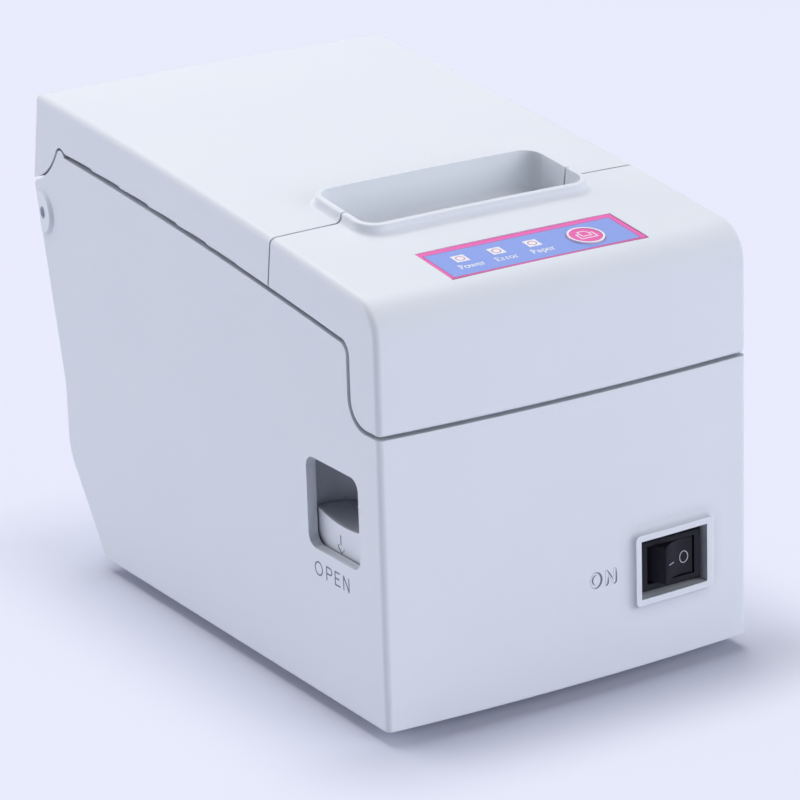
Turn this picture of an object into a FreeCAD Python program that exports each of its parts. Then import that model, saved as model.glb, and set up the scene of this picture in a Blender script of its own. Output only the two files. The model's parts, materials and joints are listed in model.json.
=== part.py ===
"""Desktop receipt printer for 58 mm paper rolls, built as separate pieces.

Frame: X to the right, Y to the back, Z up. The origin lies on the table, under the middle of
the printer. "Depth" is measured backwards from the plane through the two front corners.
"""
import FreeCAD
import Part
import math
import os
import re

from FreeCAD import Rotation, Vector

SIZES = {
    # housing
    "body_width": 116.0,
    "body_depth": 187.6,
    "front_bow": 2.3,
    "foot_height": 4.0,
    "wall": 2.4,
    "bottom_setback": 31.8,
    "waist_setback": 12.4,
    "waist_low": 32.0,
    "waist_high": 52.7,
    "waist_round": 16.0,
    "lid_rear_lean": 10.9,
    "top_front_height": 119.7,
    "top_rear_height": 138.6,
    "top_radius": 2700.0,
    "front_top_round": 10.5,
    "edge_round": 1.8,
    # seam between the case and the two upper mouldings
    "seam_gap": 0.8,
    "seam_round": 1.2,
    "seam_front_height": 84.8,
    "drop_depth": 14.3,
    "drop_low_round": 8.0,
    "drop_high_round": 3.5,
    "seam_side_height": 107.0,
    "seam_arch": 1.2,
    "lip_height": 2.0,
    "lip_thickness": 1.3,
    "lip_clearance": 0.35,
    "split_depth": 51.0,
    "split_lean": 9.0,
    "split_gap": 0.65,
    # hinge at the rear
    "hinge_setback": 4.6,
    "hinge_height": 102.8,
    "hinge_pin_diameter": 3.7,
    "hinge_fit": 0.08,
    "barrel_radius": 4.2,
    "ear_reach": 15.4,
    "ear_rise": 19.8,
    "ear_clearance": 0.5,
    "rear_wall_height": 96.0,
    "pin_recess": 0.7,
    "boss_radius": 5.0,
    "boss_flare": 1.5,
    "boss_rise": 0.35,
    "boss_lean": 6.3,
    "ear_cut_height": 7.7,
    # paper exit trough
    "trough_width": 69.8,
    "trough_depth": 40.0,
    "trough_length": 27.0,
    "trough_corner": 5.0,
    "trough_wall": 2.0,
    "trough_floor_height": 119.5,
    "slot_height": 112.4,
    "slot_width": 3.6,
    "rim_height": 2.8,
    "rim_width": 1.6,
    "rim_flare": 1.6,
    # control panel in the sloping top
    "panel_width": 61.2,
    "panel_length": 18.0,
    "panel_depth": 14.9,
    "panel_sink": 0.75,
    "overlay_thickness": 0.5,
    "led_pitch": 11.2,
    "led_first": -21.6,
    "led_row": 1.5,
    "led_diameter": 3.0,
    "button_offset": 16.1,
    "button_row": -1.0,
    "button_diameter": 10.2,
    "button_proud": 0.4,
    "button_clearance": 0.2,
    "button_travel": 0.6,
    "board_thickness": 1.6,
    "panel_board_drop": 8.0,
    # release lever window in the left wall
    "window_depth": 11.1,
    "window_height": 45.2,
    "window_length": 26.1,
    "window_rise": 25.5,
    "window_corner": 3.5,
    "window_tunnel": 2.9,
    "tunnel_wall": 1.6,
    "lever_gap": 0.5,
    "lever_shaft_depth": 9.0,  # behind the platen
    "lever_shaft_height": 70.0,
    "lever_shaft_diameter": 6.0,
    "lever_margin": 4.0,
    "lever_hood": 9.8,
    "lever_wall": 1.6,
    "lever_room": 5.3,
    "lever_cup_corner": 9.0,
    "lever_ledge_height": 54.6,
    "lever_dish_radius": 45.0,
    "lever_dish": 1.6,
    "lever_arm": 4.0,
    "hook_thickness": 1.4,
    "hook_gap": 0.8,
    "hook_clearance": 0.4,
    # power switch in the front
    "switch_inset": 26.12,
    "switch_height": 31.85,
    "switch_hole_width": 22.34,
    "switch_hole_rise": 16.6,
    "switch_frame": 1.75,
    "switch_frame_round": 1.3,
    "switch_frame_rise": 1.4,
    "switch_frame_draft": 25.0,
    "switch_frame_flare": 2.2,
    "switch_recess": 3.3,
    "flange_thickness": 1.6,
    "bezel_rise": 2.0,
    "bezel_slope": 1.6,
    "rocker_width": 14.85,
    "rocker_rise": 10.15,
    "rocker_clearance": 0.35,
    "rocker_tilt": 18.0,
    "rocker_pivot": 3.5,
    "rocker_ridge": 5.86,
    "rocker_top": 5.34,
    "rocker_dip": 1.7,
    "rocker_base": 1.6,
    # printing mechanism
    "paper_width": 58.0,
    "platen_depth": 58.0,
    "platen_height": 101.0,
    "platen_diameter": 12.0,
    "platen_shaft_diameter": 5.0,
    "bush_diameter": 6.4,
    "bush_clearance": 0.15,
    "running_fit": 0.08,
    "frame_gap": 2.0,
    "frame_plate": 1.5,
    "frame_front": 31.0,
    "frame_rear": 72.0,
    "frame_bottom": 52.0,
    "frame_top": 106.0,
    "gear_module": 0.6,
    "gear_width": 4.5,
    "platen_teeth": 20,
    "idler_teeth": 34,
    "pinion_teeth": 12,
    "idler_bearing": 60.0,
    "pinion_bearing": 88.0,
    "mesh_play": 0.12,
    "sensor_width": 9.0,
    "sensor_length": 5.0,
    "sensor_rise": 4.0,
    "sensor_offset": 11.5,
    "axle_diameter": 4.0,
    "motor_diameter": 20.0,
    "motor_length": 19.0,
    "head_gap": 0.3,
    "head_strip": 1.2,
    "head_plate": 3.6,
    "head_overhang": 0.5,
    "head_rise": 19.5,
    "head_top_gap": 0.5,
    "head_pivot_drop": 17.0,
    "head_pivot_diameter": 2.8,
    "head_groove_pitch": 7.5,
    "head_groove_width": 2.4,
    "head_groove_depth": 1.6,
    "head_groove_rise": 4.0,
    "head_strip_rise": 11.0,
    "leaf_length": 40.0,
    "leaf_foot": 2.0,
    "leaf_thickness": 0.6,
    "leaf_bow": 6.0,
    "leaf_rise": 6.0,
    "leaf_drop": 9.0,
    "tear_thickness": 0.8,
    "tear_width": 6.0,
    "tear_pitch": 2.0,
    "tear_tooth": 0.9,
    "cheek_radius": 4.6,
    "cheek_thickness": 2.0,
    # paper bin
    "bin_width": 61.0,
    "bin_front_gap": 4.0,
    "bin_rear_gap": 13.2,
    "bin_floor_height": 38.0,
    "bin_wall": 2.0,
    "bin_front_height": 92.0,
    "shelf_width": 77.0,
    "deck_drop": 3.2,
    "ledge_width": 2.5,
    # bottom and electronics
    "plate_inset": 7.0,
    "plate_clearance": 0.3,
    "foot_diameter": 13.0,
    "screw_diameter": 3.0,
    "screw_head": 6.0,
    "screw_length": 10.0,
    "screw_inset": 12.0,
    "screw_setback": 15.0,
    "post_diameter": 7.0,
    "post_height": 13.0,
    "foot_setback": 26.0,
    "main_board_height": 13.0,
    "main_board_width": 78.0,
    "main_board_length": 90.0,
    "standoff_diameter": 6.0,
    "chip_width": 16.0,
    "chip_setback": 44.0,
    "driver_width": 10.0,
    "driver_length": 8.0,
    "driver_offset": 21.0,
    "driver_setback": 58.0,
    "chip_thickness": 2.0,
    "capacitor_diameter": 8.0,
    "capacitor_rise": 11.0,
    "capacitor_pitch": 11.0,
    "capacitor_offset": 30.0,
    "capacitor_setback": 32.0,
    "niche_width": 84.0,
    "niche_setback": 32.6,
    "niche_low": 11.0,
    "niche_high": 31.0,
    "port_clearance": 0.25,
    "inlet_offset": -26.0,
    "inlet_width": 14.0,
    "inlet_rise": 13.0,
    "inlet_length": 17.0,
    "inlet_bore": 10.4,
    "inlet_bore_depth": 10.0,
    "inlet_pin": 1.4,
    "inlet_pin_length": 4.0,
    "inlet_pin_circle": 6.0,
    "usb_offset": 0.0,
    "usb_width": 12.0,
    "usb_rise": 11.0,
    "usb_length": 16.0,
    "usb_mouth_width": 8.6,
    "usb_mouth_rise": 7.8,
    "usb_mouth_depth": 10.5,
    "usb_tongue_width": 5.6,
    "usb_tongue_rise": 3.2,
    "usb_tongue_back": 5.0,
    "drawer_offset": 25.0,
    "drawer_width": 13.5,
    "drawer_rise": 13.0,
    "drawer_length": 17.0,
    "drawer_mouth_width": 9.8,
    "drawer_mouth_rise": 6.8,
    "drawer_mouth_depth": 11.0,
    "drawer_mouth_lift": 1.0,
    "drawer_notch_width": 3.4,
    "drawer_notch_rise": 2.2,
}

doc = FreeCAD.newDocument("receipt_printer")
sheet = doc.addObject("Spreadsheet::Sheet", "dims")
for row, (name, value) in enumerate(SIZES.items(), start=1):
    sheet.set(f"A{row}", name)
    sheet.set(f"B{row}", str(value))
    sheet.setAlias(f"B{row}", name)
doc.recompute()


class Dimensions:
    """The sheet's cells as attributes."""

    def __getattr__(self, name):
        return float(sheet.get(name))


d = Dimensions()
FRONT = "(front_bow-body_depth)/2"
front = (d.front_bow - d.body_depth) / 2
half = d.body_width / 2
bottom_depth = d.body_depth - d.bottom_setback
waist_depth = d.body_depth - d.waist_setback
niche_depth = d.body_depth - d.niche_setback
hinge_depth = d.body_depth - d.hinge_setback
nodes = []


def point(depth, height, x=0.0):
    """Point of the side view."""
    return Vector(x, front + depth, height)


def tied(text):
    """Expression text with the sheet's name put before each alias."""
    return re.sub(r"[a-z_]{3,}", lambda m: f"dims.{m[0]}" if m[0] in SIZES else m[0], text)


def bind(obj, **expressions):
    for prop, text in expressions.items():
        obj.setExpression(prop.replace("__", "."), tied(text))


def place(obj, x, y, z):
    bind(obj, Placement__Base__x=x, Placement__Base__y=y, Placement__Base__z=z)


def box(name, size, corner):
    """Box from expressions for its three lengths and for its low corner."""
    obj = doc.addObject("Part::Box", name)
    bind(obj, Length=size[0], Width=size[1], Height=size[2])
    place(obj, *corner)
    return obj


def rod(name, radius, length, start, axis="x"):
    """Cylinder from expressions, along +X, +Y or +Z from its start."""
    obj = doc.addObject("Part::Cylinder", name)
    bind(obj, Radius=radius, Height=length)
    turns = {"x": Rotation(Vector(0, 1, 0), 90), "y": Rotation(Vector(1, 0, 0), -90), "z": Rotation()}
    obj.Placement = FreeCAD.Placement(Vector(), turns[axis])
    place(obj, *start)
    return obj


def cut(name, base, *tools):
    """Base less the tools, one after the other."""
    for number, tool in enumerate(tools):
        step = doc.addObject("Part::Cut", name if number == len(tools) - 1 else f"{name}_cut{number}")
        step.Base = base
        step.Tool = tool
        base = step
    return base


def join(name, *shapes):
    obj = doc.addObject("Part::MultiFuse", name)
    obj.Shapes = list(shapes)
    obj.Refine = True
    return obj


def group(name, *shapes):
    """Loose solids that share one node."""
    obj = doc.addObject("Part::Compound", name)
    obj.Links = list(shapes)
    return obj


def node(name, obj):
    """Takes an object as a finished piece, under its node name."""
    obj.Label = name
    nodes.append(obj)
    return obj


def moulded(name, shape):
    """Finished piece whose shape is worked out in this script."""
    obj = doc.addObject("Part::Feature", name)
    obj.Shape = shape
    return node(name, obj)


def outline(start, *steps):
    """Closed side-view wire. A step is a point, or a pair of points for an arc through them."""
    edges = []
    here = point(*start)
    for step in steps + (start,):
        if isinstance(step[0], tuple):
            middle, end = point(*step[0]), point(*step[1])
            edges.append(Part.Arc(here, middle, end).toShape())
        else:
            end = point(*step)
            if (end - here).Length < 1e-6:
                continue
            edges.append(Part.LineSegment(here, end).toShape())
        here = end
    return Part.Wire(edges)


def prism(wire, low, high):
    """Side-view wire or face drawn out along X between two places."""
    face = wire if wire.ShapeType == "Face" else Part.Face(wire)
    solid = face.extrude(Vector(high - low, 0, 0))
    solid.translate(Vector(low, 0, 0))
    return solid


def quarter(centre, radius, start, end):
    """Arc step round a centre, between two angles in degrees."""
    spots = []
    for angle in ((start + end) / 2, end):
        turn = math.radians(angle)
        spots.append((centre[0] + radius * math.cos(turn), centre[1] + radius * math.sin(turn)))
    return tuple(spots)


def rounded_bar(width, length, corner, low, high, centre):
    """Upright bar of rounded rectangular plan, between two heights."""
    bar = Part.makeBox(width, length, high - low,
                       Vector(centre[0] - width / 2, centre[1] - length / 2, low))
    upright = [e for e in bar.Edges if abs(e.tangentAt(e.FirstParameter).z) > 0.99]
    return bar.makeFillet(corner, upright)


def slab(x0, x1, depth0, depth1, z0, z1):
    return Part.makeBox(x1 - x0, depth1 - depth0, z1 - z0, point(depth0, z0, x0))


# Outer form: the side outline drawn across, trimmed by the bowed plan and by the crowned top,
# which is part of a large ball.
def ball_centre():
    low = Vector(0, front, d.top_front_height)
    high = Vector(0, front + d.body_depth, d.top_rear_height)
    along = high - low
    down = Vector(0, along.z, -along.y).normalize()
    ring = math.sqrt(d.top_radius ** 2 - half ** 2 - (along.Length / 2) ** 2)
    return (low + high) * 0.5 + down * ring


top_centre = ball_centre()


def ball(offset):
    return Part.makeSphere(d.top_radius + offset, top_centre)


def top_height(x, depth, offset=0.0):
    """Height of the crowned top over a spot of the plan."""
    y = front + depth - top_centre.y
    return top_centre.z + math.sqrt((d.top_radius + offset) ** 2 - x * x - y * y)


def top_slope(depth):
    """Lean of the top along the depth, in degrees."""
    return math.degrees(math.asin(-(front + depth - top_centre.y) / d.top_radius))


def bowed_plan(inset):
    """Upright bar over the plan: straight sides and a front that bows out in the middle."""
    side = half - inset
    rear = front + d.body_depth + 40
    corner = Vector(-side, front + inset, 0)
    nose = Vector(0, front - d.front_bow + inset, 0)
    other = Vector(side, front + inset, 0)
    edges = [Part.Arc(corner, nose, other).toShape(),
             Part.LineSegment(other, Vector(side, rear, 0)).toShape(),
             Part.LineSegment(Vector(side, rear, 0), Vector(-side, rear, 0)).toShape(),
             Part.LineSegment(Vector(-side, rear, 0), corner).toShape()]
    bar = Part.Face(Part.Wire(edges)).extrude(Vector(0, 0, 300))
    bar.translate(Vector(0, 0, -50))
    return bar


def side_bar(inset=0.0):
    """Side view of the closed printer, drawn out past both side walls."""
    lip_depth = d.body_depth
    lip_height = d.hinge_height + d.barrel_radius + 4.6
    peak = 60.0
    crown_depth = lip_depth - peak * math.tan(math.radians(d.lid_rear_lean))
    side = outline((-40, d.foot_height), (bottom_depth, d.foot_height),
                   (waist_depth, d.waist_low), (waist_depth, d.waist_high),
                   (lip_depth, lip_height), (crown_depth, lip_height + peak),
                   (-40, lip_height + peak))
    face = Part.Face(side)
    if inset:
        face = face.makeOffset2D(-inset, 2)
    return prism(face, -half - 20, half + 20)


def envelope(inset, rounded):
    """Outer form of the closed printer, moved inwards by the inset."""
    body = side_bar(inset)
    if rounded:
        across = [e for e in body.Edges if abs(e.tangentAt(e.FirstParameter).x) > 0.99]
        waist = [e for e in across if abs(e.CenterOfMass.y - front - waist_depth) < 0.1]
        body = body.makeFillet(d.waist_round, waist)
    body = body.common(bowed_plan(inset)).common(ball(-inset))
    return body.removeSplitter()


def on_ball(edge, offset=0.0):
    """Whether an edge lies in the crowned top, or in a ball beside it."""
    middle = edge.valueAt((edge.FirstParameter + edge.LastParameter) / 2)
    return abs((middle - top_centre).Length - d.top_radius - offset) < 1e-3


def nose_edges(body, offset=0.0):
    return [e for e in body.Edges
            if on_ball(e, offset) and e.BoundBox.XLength > half and e.CenterOfMass.y < 0]


def rounded_skin():
    """Outer form with its soft edges."""
    body = envelope(0, True)
    body = body.makeFillet(d.front_top_round, nose_edges(body)).removeSplitter()
    chain = []
    for edge in body.Edges:
        spot = edge.CenterOfMass
        at_side = abs(abs(spot.x) - half) < 0.3
        at_nose = spot.y < front + d.front_top_round + 3 and spot.z > d.foot_height + 20
        across_rear = edge.BoundBox.XLength > half and spot.y > 0
        if (at_side and (on_ball(edge) or at_nose)) or (on_ball(edge) and across_rear):
            chain.append(edge)
    return body.makeFillet(d.edge_round, chain)


def hollow():
    """Room inside the walls."""
    body = envelope(d.wall, False)
    return body.makeFillet(d.front_top_round - d.wall, nose_edges(body, -d.wall))


# Side-view line of the seam: level across the front, up behind the front cover, gently arched
# along the side, and over the ear that carries the hinge pin.
def seam_steps():
    low = d.drop_depth - d.drop_low_round
    high = d.drop_depth + d.drop_high_round
    reach, rise = d.ear_reach, d.ear_rise
    hinge, pin = hinge_depth, d.hinge_height
    end = (hinge - reach, pin + rise)
    middle = ((high + end[0]) / 2, (d.seam_side_height + end[1]) / 2 + d.seam_arch)
    return [(low, d.seam_front_height),
            quarter((low, d.seam_front_height + d.drop_low_round), d.drop_low_round, -90, 0),
            (d.drop_depth, d.seam_side_height - d.drop_high_round),
            quarter((high, d.seam_side_height - d.drop_high_round), d.drop_high_round, 180, 90),
            (middle, end),
            ((hinge - 0.83 * reach, pin + 1.09 * rise), (hinge - 0.68 * reach, pin + 1.02 * rise)),
            ((hinge - 0.29 * reach, pin + 0.68 * rise), (hinge + 0.30 * reach, pin + 0.465 * rise)),
            (d.body_depth + 60, pin + 0.2 * rise)]


def seam_region(far):
    """Face of the side view below the seam (far under the table) or above it."""
    steps = seam_steps()
    return Part.Face(outline((-80, d.seam_front_height), *steps, (steps[-1][0], far), (-80, far)))


case_face = seam_region(-80)
upper_face = seam_region(280)


def split_at(height, offset=0.0):
    """Depth of the split between front cover and lid at a height."""
    rise = top_height(0, d.split_depth) - height
    return d.split_depth + rise * math.tan(math.radians(d.split_lean)) + offset


def split_side(rear):
    """Bar on the cover's or the lid's side of the split."""
    far = d.body_depth + 80 if rear else -80
    shift = d.split_gap / 2 if rear else -d.split_gap / 2
    face = outline((split_at(-90, shift), -90), (split_at(290, shift), 290), (far, 290), (far, -90))
    return prism(face, -half - 30, half + 30)


def across(face):
    return prism(face, -half - 30, half + 30)


case_bar = across(case_face.makeOffset2D(-d.seam_gap / 2))
upper_bar = across(upper_face.makeOffset2D(-d.seam_gap / 2))


def seam_band(above, below):
    """Bar that follows the seam, from a distance above it to a distance below it."""
    return across(case_face.makeOffset2D(above)).cut(across(case_face.makeOffset2D(-below)))


# Paper exit trough: a rounded well with a raised flared rim, split between cover and lid.
trough_middle = Vector(0, front + d.trough_depth + d.trough_length / 2, 0)
trough_rear = d.trough_depth + d.trough_length
slot_rear = split_at(d.slot_height)
slot_front = slot_rear - d.slot_width
lid_seat = d.slot_height - d.trough_wall


def trough_bar(extra, low=80.0, high=200.0):
    return rounded_bar(d.trough_width + 2 * extra, d.trough_length + 2 * extra,
                       d.trough_corner + extra, low, high, trough_middle)


def with_rim(skin):
    """Skin with the flared rim of the trough."""
    rim = trough_bar(d.rim_width).common(ball(d.rim_height))
    body = skin.fuse(rim).removeSplitter()
    wide = trough_bar(d.rim_width + 0.1)
    foot = [e for e in body.Edges if on_ball(e) and wide.isInside(e.CenterOfMass, 0.2, True)
            and e.BoundBox.XLength < d.trough_width + 8]
    body = body.makeFillet(d.rim_flare, foot)
    crest = [e for e in body.Edges if on_ball(e, d.rim_height)]
    return body.makeFillet(d.rim_width * 0.35, crest)


def trough_walls():
    """Walls and floor of the well, before the well itself is cut."""
    wall = d.trough_wall
    side = outline((d.trough_depth - wall, 180), (d.trough_depth - wall, d.trough_floor_height - wall),
                   (slot_front - wall, lid_seat), (trough_rear + wall, lid_seat),
                   (trough_rear + wall, 180))
    return trough_bar(wall).common(across(side))


def trough_well():
    """The well: a front floor that falls to the slot, the slot, and a rear floor that rises."""
    bend = 3.0
    side = outline((d.trough_depth, 180), (d.trough_depth, d.trough_floor_height),
                   (slot_front, d.slot_height), (slot_front, 90), (slot_rear, 90),
                   (slot_rear, d.slot_height), (trough_rear - bend, d.trough_floor_height),
                   quarter((trough_rear - bend, d.trough_floor_height + bend), bend, -90, 0),
                   (trough_rear, 180))
    return trough_bar(0.0).common(across(side))


def upper_form(skin):
    """Outer form above the seam, with its lower edge rounded from the front to the hinge ears."""
    body = with_rim(skin).common(upper_bar).removeSplitter()
    line = upper_face.makeOffset2D(-d.seam_gap / 2).OuterWire
    ear = front + hinge_depth - d.ear_reach
    chain = []
    for edge in body.Edges:
        first, last = edge.FirstParameter, edge.LastParameter
        spots = [edge.valueAt(first + share * (last - first)) for share in (0.0, 0.3, 0.7, 1.0)]
        level = max(Part.Vertex(0, v.y, v.z).distToShape(line)[0] for v in spots)
        crease = edge.BoundBox.YLength < 1e-4 and edge.BoundBox.ZLength < 1e-4
        if level < 1e-3 and not crease and edge.CenterOfMass.y < ear:
            chain.append(edge)
    return body.makeFillet(d.seam_round, chain)


skin = rounded_skin()
room = hollow()
well_walls = trough_walls().common(skin).common(upper_bar)
upper = upper_form(skin).cut(room).fuse(well_walls).cut(trough_well())

# Front cover: upper moulding ahead of the split, with the sunk control panel.
panel_lean = top_slope(d.panel_depth)
panel_frame = FreeCAD.Placement(point(d.panel_depth, top_height(0, d.panel_depth)),
                                Rotation(Vector(1, 0, 0), panel_lean))
led_places = [d.led_first + d.led_pitch * number for number in range(3)]
cover_under = -d.wall


def on_panel(shape, x=0.0, along=0.0, up=0.0):
    """Moves a shape to a spot of the panel, whose own Z stands square to the top."""
    shape.Placement = panel_frame.multiply(FreeCAD.Placement(Vector(x, along, up), Rotation()))
    return shape


def panel_box(width, length, low, high, x=0.0, along=0.0):
    bar = Part.makeBox(width, length, high - low, Vector(-width / 2, -length / 2, 0))
    return on_panel(bar, x, along, low)


def panel_rod(diameter, low, high, x, along):
    return on_panel(Part.makeCylinder(diameter / 2, high - low), x, along, low)


def front_cover():
    fit = d.plate_clearance
    body = upper.common(split_side(False))
    for side in (-1, 1):
        post = panel_rod(5, -d.panel_board_drop, cover_under + 0.5, side * (d.panel_width / 2 - 3.5), 0)
        body = body.fuse(post)
    body = body.cut(panel_box(d.panel_width + fit, d.panel_length + fit, -d.panel_sink, 8))
    for x in led_places:
        body = body.cut(panel_rod(d.led_diameter + 2 * fit, -6, 2, x, d.led_row))
    hole = d.button_diameter + 2 * d.button_clearance
    return body.cut(panel_rod(hole, -6, 2, d.button_offset, d.button_row))


moulded("front_cover", front_cover())


# Paper lid: upper moulding behind the split, with a hinge barrel between the ears of the case.
def paper_lid():
    hinge, pin = hinge_depth, d.hinge_height
    inner = half - d.wall - d.ear_clearance
    body = upper.common(split_side(True))
    web = outline((hinge + d.barrel_radius, pin),
                  (d.body_depth - 0.6, pin + 0.465 * d.ear_rise + 2.0),
                  (d.body_depth - d.wall - 2.0, pin + 0.465 * d.ear_rise + 6.0),
                  (hinge - d.barrel_radius * 0.4, pin + d.barrel_radius * 0.6))
    barrel = Part.makeCylinder(d.barrel_radius, 2 * inner, point(hinge, pin, -inner), Vector(1, 0, 0))
    body = body.fuse(prism(web, -inner, inner)).fuse(barrel).removeSplitter()
    bore = d.hinge_pin_diameter / 2 + d.hinge_fit
    for side in (-1, 1):
        body = body.cut(Part.makeCylinder(bore, 13, point(hinge, pin, side * (inner - 11)),
                                          Vector(side, 0, 0)))
    return body


moulded("paper_lid", paper_lid())


# Main case: walls below the seam, with the lip that hides the seam, ledges for the paper bin,
# the lever window, the frame of the switch, screw posts and the niche of the rear sockets.
bow_radius = (half ** 2 + d.front_bow ** 2) / (2 * d.front_bow)


def bow_depth(x, rise=0.0):
    """Depth of the bowed front, or of a surface that stands out from it, off the middle."""
    return bow_radius - d.front_bow - math.sqrt((bow_radius + rise) ** 2 - x * x)


switch_x = half - d.switch_inset
switch_half = d.switch_hole_width / 2
switch_rise = d.switch_hole_rise / 2
switch_face = bow_depth(switch_x + switch_half, d.switch_frame_rise)
flange_seat = switch_face + d.switch_recess
flange_front = flange_seat - d.bezel_rise
flange_rear = flange_seat + d.flange_thickness
screw_x = half - d.screw_inset
screw_depths = (d.screw_setback, bottom_depth - d.screw_setback)
plate_top = d.foot_height + d.wall


def front_rectangle(depth, grow, bend):
    """Rounded wire round the switch in a plane across the depth."""
    bar = switch_slab(grow, depth, depth + 1)
    level = [e for e in bar.Edges if abs(e.tangentAt(e.FirstParameter).y) > 0.99]
    bar = bar.makeFillet(bend, level)
    return min(bar.Faces, key=lambda face: face.CenterOfMass.y).OuterWire


def switch_slab(grow, depth0, depth1):
    return slab(switch_x - switch_half - grow, switch_x + switch_half + grow,
                depth0, depth1,
                d.switch_height - switch_rise - grow, d.switch_height + switch_rise + grow)


def bow_block(grow, rise):
    """Block round the switch whose front stands out from the bowed front by the rise."""
    x0, x1 = switch_x - switch_half - grow, switch_x + switch_half + grow
    low = d.switch_height - switch_rise - grow
    spots = [point(bow_depth(x, rise), low, x) for x in (x0, switch_x, x1)]
    wire = Part.Wire([Part.Arc(*spots).toShape(),
                      Part.makePolygon([spots[2], point(0, low, x1), point(0, low, x0), spots[0]])])
    return Part.Face(wire).extrude(Vector(0, 0, 2 * (switch_rise + grow)))


def switch_surround():
    """Raised frame of the switch: drafted sides that flare into the bowed front."""
    draft = math.tan(math.radians(d.switch_frame_draft))
    middle, spare = bow_depth(switch_x), 0.6
    wires = []
    for level in (d.switch_frame_rise + spare, -spare):
        spread = (d.switch_frame_rise - level) * draft
        wires.append(front_rectangle(middle - level, d.switch_frame + spread,
                                     d.switch_frame_round + spread))
    frame = Part.makeLoft(wires, True, True)
    frame.rotate(point(middle, 0, switch_x), Vector(0, 0, 1),
                 math.degrees(math.asin(switch_x / bow_radius)))
    reach = d.switch_frame + d.switch_frame_rise * draft + spare
    frame = frame.common(bow_block(reach + 2 * spare, d.switch_frame_rise))
    body = bow_block(reach + 2 * d.switch_frame_flare, 0).fuse(frame).removeSplitter()
    foot = []
    for edge in body.Edges:
        ends = [edge.valueAt(edge.FirstParameter + share * (edge.LastParameter - edge.FirstParameter))
                for share in (0.0, 0.3, 0.7, 1.0)]
        if all(abs(e.y - front - bow_depth(e.x)) < 1e-3 and abs(e.x - switch_x) < switch_half + reach
               and abs(e.z - d.switch_height) < switch_rise + reach for e in ends):
            foot.append(edge)
    return body.makeFillet(d.switch_frame_flare, foot)


def window_bar(grow, x0, x1):
    """Bar across the side wall with the rounded outline of the lever window."""
    bar = slab(x0, x1, d.window_depth - grow, d.window_depth + d.window_length + grow,
               d.window_height - grow, d.window_height + d.window_rise + grow)
    level = [e for e in bar.Edges if abs(e.tangentAt(e.FirstParameter).x) > 0.99]
    return bar.makeFillet(d.window_corner + grow, level)


def seam_lip(room):
    """Lip that stands up inside the walls of the upper mouldings."""
    far = half + 30
    end = hinge_depth - d.ear_reach - 4
    outer = envelope(d.wall + d.lip_clearance, False)
    inner = envelope(d.wall + d.lip_clearance + d.lip_thickness, False)
    band = seam_band(d.lip_height, d.deck_drop - 0.4).common(slab(-far, far, -20, end, 20, 180))
    return outer.cut(inner).common(band).fuse(room.cut(inner).common(band).common(case_bar))


def bin_ledge(room):
    """Rail along each side wall under the deck of the paper bin."""
    far = half + 30
    low = d.deck_drop + d.bin_wall
    end = hinge_depth - d.ear_reach - 6
    band = seam_band(-low, low + 2).common(slab(-far, far, d.frame_rear, end, 20, 180))
    return room.cut(envelope(d.wall + d.ledge_width, False)).common(band)


def screw_post(side, depth):
    x = side * screw_x
    post = Part.makeCylinder(d.post_diameter / 2, d.post_height, point(depth, plate_top, x))
    low, high = sorted((x, side * (half - d.wall / 2)))
    post = post.fuse(slab(low, high, depth - 1, depth + 1, plate_top, plate_top + d.post_height))
    return post.cut(Part.makeCylinder(d.screw_diameter / 2, d.screw_length, point(depth, plate_top, x)))


def hinge_boss(side):
    """Low cone on a hinge ear. Its face leans, so that it stands out most at the front."""
    lean, sunk = math.radians(d.boss_lean), 0.5
    high = d.boss_rise + (d.boss_radius + 1) * math.tan(lean)
    wide = d.boss_radius + d.boss_flare * (1 + sunk / high)
    cone = Part.makeCone(wide, d.boss_radius, high + sunk,
                         point(hinge_depth, d.hinge_height, side * (half - sunk)), Vector(side, 0, 0))
    face = point(hinge_depth, d.hinge_height, side * (half + d.boss_rise))
    above = Part.makeCylinder(2 * wide, 2 * wide, face,
                              Vector(side * math.cos(lean), math.sin(lean), 0))
    return cone.cut(above).common(side_bar())


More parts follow.
